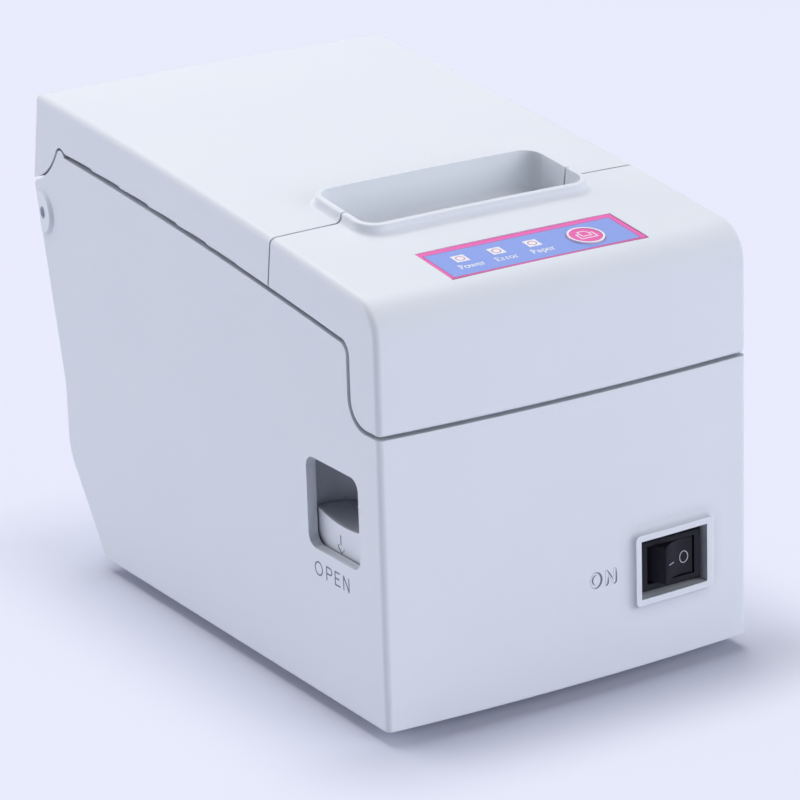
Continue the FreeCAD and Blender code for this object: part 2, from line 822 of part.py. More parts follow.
def main_case():
    far = half + 30
    body = skin.cut(room).common(case_bar)
    body = body.fuse(seam_lip(room)).fuse(bin_ledge(room))
    # rear: sockets' niche, and the wall cut down between the hinge ears
    niche = d.niche_width / 2
    block = slab(-niche - d.wall, niche + d.wall, niche_depth - d.wall, d.body_depth + 9,
                 d.niche_low - d.wall, d.niche_high + d.wall)
    body = body.fuse(block.common(skin))
    body = body.cut(slab(-niche, niche, niche_depth, d.body_depth + 9, d.niche_low, d.niche_high))
    for port in ports:
        body = body.cut(port.hole())
    inner = half - d.wall
    body = body.cut(slab(-inner, inner, hinge_depth - d.ear_reach - 4, d.body_depth + 9,
                         d.rear_wall_height, 180))
    # bottom opening under the base plate
    edge = d.plate_inset
    body = body.cut(slab(edge - half, half - edge, edge, bottom_depth - edge, 0, plate_top))
    for side in (-1, 1):
        for depth in screw_depths:
            body = body.fuse(screw_post(side, depth))
    # hinge ears: the top corner cut off at the rear, and for each pin a boss and a hole
    low = d.hinge_height + d.ear_cut_height
    corner = outline((d.body_depth + 1, low - 1), (d.body_depth + 1, low + 4), (d.body_depth - 4, low + 4))
    body = body.cut(prism(Part.Face(corner), -far, far))
    for side in (-1, 1):
        body = body.fuse(hinge_boss(side))
    body = body.cut(Part.makeCylinder(d.hinge_pin_diameter / 2, 2 * far,
                                      point(hinge_depth, d.hinge_height, -far), Vector(1, 0, 0)))
    # lever window with its short tunnel, in the left wall
    tunnel = window_bar(d.tunnel_wall, -half, d.window_tunnel - half)
    body = body.fuse(tunnel.common(skin)).cut(window_bar(0, -far, d.window_tunnel - half))
    # switch: a raised frame on the bowed front, and a deep hole with a seat for the flange
    seat = flange_rear + d.wall
    body = body.fuse(switch_slab(d.tunnel_wall, -9, seat).common(skin))
    body = body.fuse(switch_surround()).removeSplitter().cut(switch_slab(0, -9, flange_rear))
    return body.cut(switch_slab(-1.0 - d.plate_clearance, -9, seat + 1))


class Port:
    """Socket that stands on the main board and shows in the niche."""

    def __init__(self, offset, width, rise, length):
        self.offset, self.width, self.rise, self.length = offset, width, rise, length
        self.low = d.main_board_height + d.board_thickness

    def bar(self, grow, depth0, depth1, low=None):
        low = self.low if low is None else low
        return slab(self.offset - self.width / 2 - grow, self.offset + self.width / 2 + grow,
                    depth0, depth1, low - grow, low + self.rise + grow)

    def hole(self):
        return self.bar(d.port_clearance, niche_depth - d.wall - 1, niche_depth + 1)

    def body(self):
        return self.bar(0, niche_depth - self.length, niche_depth)


power_port = Port(d.inlet_offset, d.inlet_width, d.inlet_rise, d.inlet_length)
usb_port = Port(d.usb_offset, d.usb_width, d.usb_rise, d.usb_length)
drawer_port = Port(d.drawer_offset, d.drawer_width, d.drawer_rise, d.drawer_length)
ports = (power_port, usb_port, drawer_port)

moulded("main_case", main_case())


# Hinge pins, pressed into the ears; the lid's barrel turns on them.
def hinge_pins():
    inner = half - d.wall - d.ear_clearance
    length = half - d.pin_recess - (inner - 10)
    pins = [Part.makeCylinder(d.hinge_pin_diameter / 2, length,
                              point(hinge_depth, d.hinge_height, side * (inner - 10)),
                              Vector(side, 0, 0)) for side in (-1, 1)]
    return Part.makeCompound(pins)


moulded("hinge_pins", hinge_pins())


# Control panel: printed overlay, feed button, lamps, and the small board under them.
overlay_top = d.overlay_thickness - d.panel_sink
button_foot = cover_under - 0.15 - 0.8


def panel_object(kind, name, x, along, up, **sizes):
    """Primitive that stands on the sloping panel."""
    obj = doc.addObject(kind, name)
    bind(obj, **sizes)
    return on_panel(obj, x, along, up)


def panel_plate(name, width, length, thickness, x, along, up):
    obj = panel_object("Part::Box", name, x, along, up, Length=width, Width=length, Height=thickness)
    return obj


def panel_disc(name, diameter, length, x, along, up):
    return panel_object("Part::Cylinder", name, x, along, up, Radius=f"({diameter})/2", Height=length)


overlay_sheet = panel_plate("overlay_sheet", "panel_width", "panel_length", "overlay_thickness",
                            -d.panel_width / 2, -d.panel_length / 2, -d.panel_sink)
overlay_hole = panel_disc("overlay_hole", "button_diameter+2*button_clearance", "4*wall",
                          d.button_offset, d.button_row, -2 * d.wall)
node("control_overlay", cut("overlay", overlay_sheet, overlay_hole))

button_cap = panel_disc("button_cap", "button_diameter", str(overlay_top + d.button_proud - button_foot),
                        d.button_offset, d.button_row, button_foot)
button_flange = panel_disc("button_flange", "button_diameter+2.6", "0.8",
                           d.button_offset, d.button_row, button_foot)
node("feed_button", join("button", button_cap, button_flange))

board_width = d.panel_width - 2
board_length = d.panel_length - 3
node("panel_board", panel_plate("panel_board", "panel_width-2", "panel_length-3", "board_thickness",
                                -board_width / 2, -board_length / 2,
                                -d.panel_board_drop - d.board_thickness))

plunger_top = button_foot - d.button_travel - 0.15
tact_body = panel_plate("tact_body", "6", "6", "3.2", d.button_offset - 3, d.button_row - 3,
                        -d.panel_board_drop)
tact_plunger = panel_disc("tact_plunger", "3.4", str(plunger_top + d.panel_board_drop - 3.2),
                          d.button_offset, d.button_row, 3.2 - d.panel_board_drop)
node("tact_switch", join("tact", tact_body, tact_plunger))

lamps = []
for number, x in enumerate(led_places):
    lamps.append(panel_disc(f"lamp{number}", "led_diameter", "panel_board_drop-panel_sink-0.2",
                            x, d.led_row, -d.panel_board_drop))
node("status_leds", group("lamps", *lamps))


# Power switch: housing with its flange at the bottom of the hole, and the tilting rocker.
housing_length = 12.0
pivot_depth = flange_front + d.rocker_pivot
rocker_reach = d.rocker_width / 2


def switch_housing():
    fit = d.plate_clearance
    body = switch_slab(-fit / 2, flange_seat, flange_rear)
    bezel = Part.makeLoft([front_rectangle(flange_seat, -fit / 2, 0.4),
                           front_rectangle(flange_front, -d.bezel_slope, 0.4)], True, True)
    body = body.fuse(bezel)
    body = body.fuse(switch_slab(-1.0 - fit - 0.1, flange_rear, flange_rear + housing_length))
    gap = d.rocker_clearance
    wide, tall = rocker_reach + gap, d.rocker_rise / 2 + gap
    body = body.cut(slab(switch_x - wide, switch_x + wide, flange_front - 1,
                         flange_rear + 6.5, d.switch_height - tall, d.switch_height + tall))
    axle = Part.makeCylinder(1.2, 2 * tall + 1, point(pivot_depth, d.switch_height - tall - 0.5,
                                                      switch_x))
    body = body.fuse(axle)
    for x in (-5, 5):
        tab = slab(switch_x + x - 0.4, switch_x + x + 0.4,
                   flange_rear + housing_length, flange_rear + housing_length + 6,
                   d.switch_height - 2.4, d.switch_height + 2.4)
        body = body.fuse(tab)
    return body


def power_rocker():
    """Rocker drawn level, then tipped to the side where it rests."""
    low, top, tip = d.rocker_base, d.rocker_top, d.rocker_ridge
    dip = top - d.rocker_dip
    foot = rocker_reach - d.rocker_clearance
    spots = [Vector(-foot, low, 0), Vector(foot, low, 0), Vector(tip, -top, 0)]
    edges = [Part.LineSegment(spots[0], spots[1]).toShape(),
             Part.LineSegment(spots[1], spots[2]).toShape(),
             Part.Arc(spots[2], Vector(0, -dip, 0), Vector(-tip, -top, 0)).toShape(),
             Part.LineSegment(Vector(-tip, -top, 0), spots[0]).toShape()]
    body = Part.Face(Part.Wire(edges)).extrude(Vector(0, 0, d.rocker_rise))
    body.translate(Vector(0, 0, -d.rocker_rise / 2))
    body = body.cut(Part.makeCylinder(1.2 + d.running_fit, d.rocker_rise + 2,
                                      Vector(0, 0, -d.rocker_rise / 2 - 1)))
    body.rotate(Vector(), Vector(0, 0, 1), d.rocker_tilt)
    body.translate(point(pivot_depth, d.switch_height, switch_x))
    return body


moulded("switch_housing", switch_housing())
moulded("power_rocker", power_rocker())

# Printing mechanism: a steel frame with slots for the platen, the thermal head, motor and gears.
plate_in = d.paper_width / 2 + d.frame_gap
plate_out = plate_in + d.frame_plate
hook_in = plate_out + d.hook_gap
hook_out = hook_in + d.hook_thickness
cheek_in = hook_out + d.hook_gap
cheek_out = cheek_in + d.cheek_thickness
gear_in = cheek_out + d.hook_gap
gear_out = gear_in + d.gear_width
platen = (d.platen_depth, d.platen_height)
lever_axis = (d.platen_depth + d.lever_shaft_depth, d.lever_shaft_height)
head_face = d.platen_depth - d.platen_diameter / 2 - d.head_gap
strip_front = head_face - d.head_strip
head_front = strip_front - d.head_plate


def meshed(centre, teeth_a, teeth_b, bearing):
    """Centre of a wheel that meshes with another, at a bearing below the level to the front."""
    reach = d.gear_module * (teeth_a + teeth_b) / 2 + d.mesh_play
    turn = math.radians(bearing)
    return (centre[0] - reach * math.cos(turn), centre[1] - reach * math.sin(turn))


idler = meshed(platen, d.platen_teeth, d.idler_teeth, d.idler_bearing)
pinion = meshed(idler, d.idler_teeth, d.pinion_teeth, d.pinion_bearing)


def along_x(radius, low, high, centre):
    return Part.makeCylinder(radius, high - low, point(centre[0], centre[1], low), Vector(1, 0, 0))


def print_frame():
    low, high = d.frame_bottom, d.frame_top
    shoulder = high - 22
    side = outline((d.frame_front, low), (d.frame_rear, low), (d.frame_rear, shoulder),
                   (d.frame_rear - 6, high), (head_front - 3, high), (d.frame_front, shoulder))
    sheet_metal = d.frame_plate
    body = prism(side, -plate_out, -plate_in).fuse(prism(side, plate_in, plate_out))
    body = body.fuse(slab(-plate_in, plate_in, d.frame_front, d.frame_rear, low, low + sheet_metal))
    body = body.fuse(slab(-plate_in, plate_in, d.frame_front, d.frame_front + sheet_metal,
                          low, low + 12))
    spring_rear = head_front - d.leaf_bow
    body = body.fuse(slab(-plate_in, plate_in, spring_rear - sheet_metal, spring_rear,
                          high - 14, high))
    body = body.fuse(slab(-plate_in, plate_in, d.frame_rear - sheet_metal, d.frame_rear,
                          shoulder - 2, shoulder + 5))
    groove = d.bush_diameter / 2 + d.bush_clearance
    far = plate_out + 5
    body = body.cut(along_x(groove, -far, far, platen))
    for side in (-1, 1):
        x0, x1 = sorted((side * (plate_in - 0.2), side * far))
        body = body.cut(slab(x0, x1, d.platen_depth - groove, d.platen_depth + groove,
                             d.platen_height, high + 1))
    bore = d.lever_shaft_diameter / 2 + d.running_fit
    body = body.cut(along_x(bore, -far, far, lever_axis))
    body = body.cut(along_x(d.axle_diameter / 2, 0, far, idler))
    return body.cut(along_x(3.2, 0, far, pinion))


moulded("print_frame", print_frame())


def head_plate():
    wide = d.paper_width / 2 + d.head_overhang
    top = d.frame_top - d.head_top_gap
    body = slab(-wide, wide, head_front, strip_front, top - d.head_rise, top)
    pivot_height = d.frame_top - d.head_pivot_drop
    body = body.fuse(along_x(d.head_pivot_diameter / 2, -plate_in, plate_in,
                             ((head_front + strip_front) / 2, pivot_height)))
    for number in range(-3, 4):
        x = number * d.head_groove_pitch
        body = body.cut(slab(x - d.head_groove_width / 2, x + d.head_groove_width / 2,
                             head_front - 1, head_front + d.head_groove_depth,
                             pivot_height - d.head_groove_rise / 2, pivot_height + d.head_groove_rise / 2))
    return body


moulded("head_plate", head_plate())
STRIP_Y = f"{FRONT}+platen_depth-platen_diameter/2-head_gap-head_strip"
node("head_strip", box("head_strip", ("paper_width", "head_strip", "head_strip_rise"),
                       ("-paper_width/2", STRIP_Y, "frame_top-head_top_gap-head_strip_rise")))


def head_spring():
    """Bowed leaf between the frame and the back of the head."""
    low = d.frame_top - d.leaf_drop
    near, far = head_front - d.leaf_bow, head_front
    end = d.leaf_length / 2
    start = end - d.leaf_foot
    outer = Part.Arc(point(near, low, -end), point(far, low), point(near, low, end)).toShape()
    inner = Part.Arc(point(near, low, start), point(far - d.leaf_thickness, low),
                     point(near, low, -start)).toShape()
    feet = [Part.LineSegment(point(near, low, a), point(near, low, b)).toShape()
            for a, b in ((end, start), (-start, -end))]
    return Part.Face(Part.Wire([outer, feet[0], inner, feet[1]])).extrude(Vector(0, 0, d.leaf_rise))


moulded("head_spring", head_spring())

# Toothed tear bar on the front floor of the trough, at the slot.
def tear_bar():
    start = point(slot_front, d.slot_height)
    along = (point(d.trough_depth, d.trough_floor_height) - start).normalize()
    square = Vector(0, -along.z, along.y)
    if square.z < 0:
        square = square * -1
    count = int((d.trough_width - 4) / d.tear_pitch / 2)
    edge = count * d.tear_pitch
    spots = [(edge, d.tear_width), (-edge, d.tear_width)]
    for number in range(2 * count):
        x = -edge + number * d.tear_pitch
        spots += [(x, 0.0), (x + d.tear_pitch / 2, -d.tear_tooth)]
    spots.append((edge, 0.0))
    corners = [start + along * reach + Vector(x, 0, 0) for x, reach in spots]
    return Part.Face(Part.makePolygon(corners + corners[:1])).extrude(square * d.tear_thickness)


moulded("tear_bar", tear_bar())


# Gears: involute teeth, thinned by the play of the mesh.
def gear(teeth, centre, first_tooth, bore, hub=0.0):
    """Wheel between the gear planes, with the middle of one tooth at an angle in the side view."""
    module = d.gear_module
    pitch = module * teeth / 2
    base = pitch * math.cos(math.radians(20))
    tip, root = pitch + 0.95 * module, pitch - 1.2 * module

    def half_angle(radius):
        swing = math.acos(min(1.0, base / radius))
        middle = math.radians(20)
        lead = math.tan(middle) - middle - (math.tan(swing) - swing)
        return math.pi / (2 * teeth) - d.mesh_play / (2 * pitch) + lead

    start = max(base, root)
    radii = [start + (tip - start) * step / 3 for step in range(4)]
    flank = [(root, half_angle(start))] + [(r, half_angle(r)) for r in radii]
    spots = []
    for number in range(int(teeth)):
        middle = math.radians(first_tooth) + 2 * math.pi * number / teeth
        side = [(r, middle - a) for r, a in flank] + [(r, middle + a) for r, a in reversed(flank)]
        spots += [point(centre[0] + r * math.cos(a), centre[1] + r * math.sin(a), gear_in)
                  for r, a in side]
    body = Part.Face(Part.makePolygon(spots + spots[:1])).extrude(Vector(gear_out - gear_in, 0, 0))
    if hub:
        body = body.fuse(along_x(hub, gear_out - 0.5, gear_out + 1.0, centre))
    return body.cut(along_x(bore, gear_in - 5, gear_out + 5, centre))


def facing_tooth(teeth, first_tooth, bearing_out, other_teeth):
    """First-tooth angle of a wheel whose gap meets a tooth of its neighbour at a bearing."""
    step = 360.0 / teeth
    part = ((bearing_out - first_tooth) / step) % 1.0
    return bearing_out + 180 + (part + 0.5) * 360.0 / other_teeth


platen_first = 180 + d.idler_bearing
idler_first = facing_tooth(d.platen_teeth, platen_first, 180 + d.idler_bearing, d.idler_teeth)
pinion_first = facing_tooth(d.idler_teeth, idler_first, 180 + d.pinion_bearing, d.pinion_teeth)
shaft = d.platen_shaft_diameter / 2
moulded("platen_gear", gear(d.platen_teeth, platen, platen_first, shaft, 4.0))
moulded("reduction_gear", gear(d.idler_teeth, idler, idler_first, d.axle_diameter / 2 + d.running_fit, 4.5))
motor_end = plate_in - d.motor_length


def motor_pinion():
    wheel = gear(d.pinion_teeth, pinion, pinion_first, 1.0)
    return wheel.fuse(along_x(1.0, motor_end + 2, gear_out + 0.5, pinion)).removeSplitter()


def step_motor():
    body = along_x(d.motor_diameter / 2, motor_end, plate_in, pinion)
    body = body.fuse(along_x(3.1, plate_in, plate_out + 0.4, pinion))
    wing = d.motor_diameter / 2 + 4
    flange = slab(plate_in - 0.8, plate_in, pinion[0] - 4, pinion[0] + 4,
                  pinion[1] - wing, pinion[1] + wing)
    return body.fuse(flange).cut(along_x(1.0 + d.running_fit, motor_end + 1, plate_out + 1, pinion))


moulded("motor_pinion", motor_pinion())
moulded("step_motor", step_motor())


def gear_axle():
    pin = along_x(d.axle_diameter / 2, plate_in, gear_out + 1.6, idler)
    return pin.fuse(along_x(d.axle_diameter / 2 + 1.0, gear_out + 1.2, gear_out + 2.0, idler))


moulded("gear_axle", gear_axle())

# Platen under the lid: bracket, shaft, rubber, bushes and clip.
PLATEN_Y = f"{FRONT}+platen_depth"
CHEEK = "paper_width/2+frame_gap+frame_plate+2*hook_gap+hook_thickness"


def platen_bracket():
    rear = trough_rear + d.trough_wall
    body = slab(-cheek_out, cheek_out, slot_rear + 1.2, rear, lid_seat - 1.6, lid_seat)
    for side in (-1, 1):
        x0, x1 = sorted((side * cheek_in, side * cheek_out))
        cheek = outline((d.platen_depth - d.cheek_radius, d.platen_height),
                        ((d.platen_depth, d.platen_height - d.cheek_radius),
                         (d.platen_depth + d.cheek_radius, d.platen_height)),
                        (rear, lid_seat - 1.6), (rear, lid_seat),
                        (slot_rear + 1.2, lid_seat), (d.platen_depth - d.cheek_radius, d.platen_height + 3))
        body = body.fuse(prism(cheek, x0, x1))
    bore = shaft + d.running_fit
    return body.cut(along_x(bore, -cheek_out - 1, cheek_out + 1, platen)).removeSplitter()


moulded("platen_bracket", platen_bracket())
node("platen_shaft", rod("platen_shaft", "platen_shaft_diameter/2",
                         f"2*({CHEEK}+cheek_thickness)+hook_gap+gear_width+3.5",
                         (f"-({CHEEK}+cheek_thickness)-2", PLATEN_Y, "platen_height")))
rubber_core = rod("rubber_core", "platen_diameter/2", "paper_width+1",
                  ("-paper_width/2-0.5", PLATEN_Y, "platen_height"))
rubber_bore = rod("rubber_bore", "platen_shaft_diameter/2", "paper_width+9",
                  ("-paper_width/2-4", PLATEN_Y, "platen_height"))
node("platen_rubber", cut("rubber", rubber_core, rubber_bore))
bushes = []
for name, start in (("left", "-(paper_width/2+frame_gap+frame_plate+hook_gap+hook_thickness)"),
                    ("right", "paper_width/2+frame_gap-0.6")):
    sleeve = rod(f"{name}_sleeve", "bush_diameter/2", "frame_plate+hook_gap+hook_thickness+0.6",
                 (start, PLATEN_Y, "platen_height"))
    bore = rod(f"{name}_sleeve_bore", "platen_shaft_diameter/2+running_fit", "2*body_width",
               ("-body_width", PLATEN_Y, "platen_height"))
    bushes.append(cut(f"{name}_bush", sleeve, bore))
node("platen_bushes", group("bushes", *bushes))
clip_disc = rod("clip_disc", "platen_shaft_diameter/2+2", "0.8",
                (f"-({CHEEK}+cheek_thickness)-1.2", PLATEN_Y, "platen_height"))
clip_bore = rod("clip_bore", "platen_shaft_diameter/2", "body_width",
                ("-body_width", PLATEN_Y, "platen_height"))
node("shaft_clip", cut("clip", clip_disc, clip_bore))

# Release lever: finger cup behind the window, its arm, the cross shaft and two latch hooks.
lever_face = d.window_tunnel + d.lever_gap - half
lever_back = -hook_out - d.lever_room
lever_cup = lever_back - d.lever_wall - lever_face


def release_lever():
    front_end = d.window_depth - d.lever_margin
    rear_end = d.window_depth + d.window_length + d.lever_margin
    top = d.window_height + d.window_rise + d.lever_hood
    body = slab(lever_face, lever_back, front_end, rear_end, d.window_height - d.lever_margin, top)
    cup = slab(lever_face - lever_cup, lever_face + lever_cup, front_end + d.lever_wall,
               rear_end - d.lever_wall, d.lever_ledge_height, top - d.lever_wall)
    inner = [e for e in cup.Edges if abs(e.tangentAt(e.FirstParameter).z) > 0.99
             and e.CenterOfMass.x > lever_face]
    body = body.cut(cup.makeFillet(d.lever_cup_corner, inner))
    middle = d.window_depth + d.window_length / 2
    dish = Part.makeCylinder(d.lever_dish_radius, 2 * lever_cup - 4,
                             point(middle, d.lever_ledge_height - d.lever_dish + d.lever_dish_radius,
                                   lever_face - lever_cup), Vector(1, 0, 0))
    dish = dish.common(slab(-half - 20, lever_face + lever_cup - 2, front_end + d.lever_wall + 1,
                            rear_end - d.lever_wall - 1, 0, d.lever_ledge_height + 1))
    body = body.cut(dish)
    hub = d.lever_shaft_diameter / 2 + 3
    arm = outline((rear_end - d.lever_wall, lever_axis[1] - 18), (lever_axis[0], lever_axis[1] - hub),
                  ((lever_axis[0] + hub, lever_axis[1]), (lever_axis[0], lever_axis[1] + hub)),
                  (rear_end - d.lever_wall, lever_axis[1] + 6))
    body = body.fuse(prism(arm, lever_back - d.lever_arm, lever_back))
    return body.cut(along_x(d.lever_shaft_diameter / 2, lever_face, 0, lever_axis)).removeSplitter()


def latch_hooks():
    """Hooks beside the frame; each nose ends just ahead of the platen bush."""
    nose = d.platen_depth - d.bush_diameter / 2 - d.hook_clearance
    top = d.platen_height + d.bush_diameter / 2 + 2.2
    depth, height = lever_axis
    hub = d.lever_shaft_diameter / 2 + 2
    side = outline((depth - hub, height), (nose + 4.1, d.platen_height - 11),
                   (nose - 4.2, d.platen_height - 4), (nose - 4.2, top),
                   (nose - 1.5, top), (nose, d.platen_height + 1.5), (nose - 1.2, d.platen_height - 1),
                   (nose - 0.6, d.platen_height - 4.4), (nose + 7.1, d.platen_height - 9.5),
                   (depth + hub, height), ((depth, height - hub), (depth - hub, height)))
    plates = []
    for side_sign in (-1, 1):
        x0, x1 = sorted((side_sign * hook_in, side_sign * hook_out))
        bore = along_x(d.lever_shaft_diameter / 2, x0 - 1, x1 + 1, lever_axis)
        plates.append(prism(side, x0, x1).cut(bore))
    return Part.makeCompound(plates)


moulded("release_lever", release_lever())
moulded("latch_hooks", latch_hooks())
node("lever_shaft", rod("lever_shaft", "lever_shaft_diameter/2",
                        str(hook_out + 1.2 - lever_back + d.lever_arm),
                        (str(lever_back - d.lever_arm), f"{FRONT}+platen_depth+lever_shaft_depth",
                         "lever_shaft_height")))


# Paper bin: deck along the seam, a round tub for the roll, and the shelf of the mechanism.
bin_front = d.frame_rear + d.bin_front_gap
bin_outer = (waist_depth - d.bin_rear_gap - bin_front) / 2
bin_depth = bin_front + bin_outer
bin_radius = bin_outer - d.bin_wall
bin_height = d.bin_floor_height + bin_radius


def paper_bin():
    low = d.deck_drop + d.bin_wall
    rear = hinge_depth - d.ear_reach - 6
    side = d.bin_width / 2
    wide = envelope(d.wall + d.plate_clearance, False)
    deck = seam_band(-d.deck_drop, low).common(wide)
    deck = deck.common(slab(-half, half, d.frame_rear + 0.5, rear, 40, 200))
    under = across(case_face.makeOffset2D(-d.deck_drop))
    centre = (bin_depth, bin_height)
    tub = along_x(bin_outer, -side - d.bin_wall, side + d.bin_wall, centre)
    tub = tub.fuse(slab(-side - d.bin_wall, side + d.bin_wall, bin_front, bin_depth + bin_outer,
                        bin_height, 180)).common(under)
    shelf_half = d.shelf_width / 2
    shelf = slab(-shelf_half, shelf_half, d.frame_front - 2, bin_front + d.bin_wall,
                 d.frame_bottom - 2.5, d.frame_bottom)
    apron = slab(-side - d.bin_wall, side + d.bin_wall, bin_front,
                 bin_front + d.bin_wall, d.frame_bottom - 2.5, d.bin_front_height)
    body = deck.fuse(tub).fuse(shelf).fuse(apron)
    well = along_x(bin_radius, -side, side, centre)
    well = well.fuse(slab(-side, side, bin_depth - bin_radius, bin_depth + bin_radius,
                          bin_height, 180))
    mouth = slab(-side, side, d.frame_rear - 5, bin_depth, d.bin_front_height, 180)
    return body.cut(well).cut(mouth).removeSplitter()


moulded("paper_bin", paper_bin())
node("paper_sensor", box("paper_sensor", ("sensor_width", "sensor_length", "sensor_rise"),
                         ("-sensor_offset-sensor_width/2", f"{FRONT}+frame_rear-sensor_length",
                          "frame_top-17")))

# Bottom: screwed base plate with board pillars and vents, rubber feet.
PLATE_X = "body_width/2-plate_inset-plate_clearance"
PLATE_Y = f"{FRONT}+plate_inset+plate_clearance"
BOTTOM = "(body_depth-bottom_setback)"
PLATE_LONG = f"{BOTTOM}-2*(plate_inset+plate_clearance)"
SCREW_YS = (f"{FRONT}+screw_setback", f"{FRONT}+{BOTTOM}-screw_setback")
FOOT_YS = (f"{FRONT}+foot_setback", f"{FRONT}+{BOTTOM}-foot_setback")
BOARD_REAR = f"{FRONT}+body_depth-niche_setback-wall-0.6"
PILLAR_X = "main_board_width/2-4"
PILLAR_YS = (f"{BOARD_REAR}-main_board_length+5", f"{BOARD_REAR}-9")
plate = box("base_sheet", (f"2*({PLATE_X})", PLATE_LONG, "wall"), (f"-({PLATE_X})", PLATE_Y, "foot_height"))
pillars = []
holes = []
screws = []
feet = []
for sign in ("-", ""):
    for row in range(2):
        tag = f"{'left' if sign else 'right'}{row}"
        pillars.append(rod(f"pillar_{tag}", "standoff_diameter/2", "main_board_height-foot_height-wall",
                           (f"{sign}({PILLAR_X})", PILLAR_YS[row], "foot_height+wall"), "z"))
        spot = (f"{sign}(body_width/2-screw_inset)", SCREW_YS[row])
        start = spot + ("foot_height-wall",)
        holes.append(rod(f"screw_hole_{tag}", "screw_diameter/2+0.2", "3*wall", start, "z"))
        holes.append(rod(f"screw_sink_{tag}", "screw_head/2+0.3", "wall+1.4", start, "z"))
        head = rod(f"screw_head_{tag}", "screw_head/2", "1.4", spot + ("foot_height",), "z")
        stem = rod(f"screw_stem_{tag}", "screw_diameter/2", "wall-1.4+screw_length-1",
                   spot + ("foot_height+1.4",), "z")
        screws.append(join(f"screw_{tag}", head, stem))
        foot = doc.addObject("Part::Cone", f"foot_{tag}")
        bind(foot, Radius1="foot_diameter/2-1", Radius2="foot_diameter/2", Height="foot_height")
        place(foot, f"{sign}(body_width/2-plate_inset-foot_diameter)", FOOT_YS[row], "0")
        feet.append(foot)
for number in range(8):
    holes.append(box(f"vent{number}", ("30", "2.4", "3*wall"),
                     ("-15", f"{FRONT}+{BOTTOM}/3+{number}*5.5", "foot_height-wall")))
node("bottom_plate", cut("bottom_plate", join("base_with_pillars", plate, *pillars), *holes))
node("bottom_screws", group("screws", *screws))
node("rubber_feet", group("feet", *feet))

# Electronics on the base plate: board, its larger parts and the three rear sockets.
node("main_board", box("main_board", ("main_board_width", "main_board_length", "board_thickness"),
                       ("-main_board_width/2", f"{BOARD_REAR}-main_board_length", "main_board_height")))
BOARD_TOP = "main_board_height+board_thickness"
board_parts = [box("chip", ("chip_width", "chip_width", "chip_thickness"),
                   ("-chip_width/2", f"{BOARD_REAR}-chip_setback-chip_width", BOARD_TOP)),
               box("driver", ("driver_width", "driver_length", "chip_thickness"),
                   ("driver_offset-driver_width/2",
                    f"{BOARD_REAR}-driver_setback-driver_length", BOARD_TOP))]
for number in range(3):
    board_parts.append(rod(f"capacitor{number}", "capacitor_diameter/2", "capacitor_rise",
                           (f"-capacitor_offset+{number}*capacitor_pitch",
                            f"{BOARD_REAR}-capacitor_setback", BOARD_TOP), "z"))
node("board_parts", group("board_parts", *board_parts))


def socket_mouth(port, width, rise, depth, lift=0.0):
    middle = port.low + port.rise / 2 + lift
    return slab(port.offset - width / 2, port.offset + width / 2, niche_depth - depth, niche_depth + 1,
                middle - rise / 2, middle + rise / 2)


def power_inlet():
    """Round three-pin supply socket."""
    middle = power_port.low + power_port.rise / 2
    inner = niche_depth - d.inlet_bore_depth
    mouth = Part.makeCylinder(d.inlet_bore / 2, d.inlet_bore_depth + 1,
                              point(inner, middle, power_port.offset), Vector(0, 1, 0))
    body = power_port.body().cut(mouth)
    for turn in (90, 210, 330):
        x = power_port.offset + d.inlet_pin_circle / 2 * math.cos(math.radians(turn))
        z = middle + d.inlet_pin_circle / 2 * math.sin(math.radians(turn))
        body = body.fuse(Part.makeCylinder(d.inlet_pin / 2, d.inlet_pin_length + 0.5,
                                           point(inner - 0.5, z, x), Vector(0, 1, 0)))
    return body


def usb_socket():
    """Square data socket with its tongue."""
    mouth = socket_mouth(usb_port, d.usb_mouth_width, d.usb_mouth_rise, d.usb_mouth_depth)
    body = usb_port.body().cut(mouth)
    wide, tall = d.usb_tongue_width / 2, d.usb_tongue_rise / 2
    middle = usb_port.low + usb_port.rise / 2
    tongue = slab(usb_port.offset - wide, usb_port.offset + wide, niche_depth - d.usb_mouth_depth - 0.5,
                  niche_depth - d.usb_tongue_back, middle - tall, middle + tall)
    return body.fuse(tongue)


def drawer_socket():
    """Cash drawer socket with the notch for the plug's latch."""
    lift = d.drawer_mouth_lift
    body = drawer_port.body().cut(socket_mouth(drawer_port, d.drawer_mouth_width, d.drawer_mouth_rise,
                                               d.drawer_mouth_depth, lift))
    drop = lift - d.drawer_mouth_rise / 2 - d.drawer_notch_rise / 2 + 0.2
    return body.cut(socket_mouth(drawer_port, d.drawer_notch_width, d.drawer_notch_rise,
                                 d.drawer_mouth_depth, drop))


moulded("power_inlet", power_inlet())
moulded("usb_port", usb_socket())
moulded("drawer_port", drawer_socket())

doc.recompute()
faults = [obj.Name for obj in doc.Objects if "Invalid" in obj.State or "Error" in obj.State]
faults += [obj.Label for obj in nodes if obj.Shape.isNull() or not obj.Shape.isValid()]
if faults:
    raise SystemExit("failed: " + ", ".join(faults))
os.makedirs("parts", exist_ok=True)
for obj in nodes:
    obj.Shape.exportStep(f"parts/{obj.Label}.step")
    print(f"{obj.Label}: {len(obj.Shape.Solids)} solid(s), {obj.Shape.Volume / 1000:.2f} cm3")
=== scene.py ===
"""Looks of a desktop receipt printer, built round its solids.

Metres, X to the right, Y to the back, Z up, with the origin on the table under the printer.
"""
import json
import math

import bpy
import numpy as np
from mathutils import Matrix, Vector


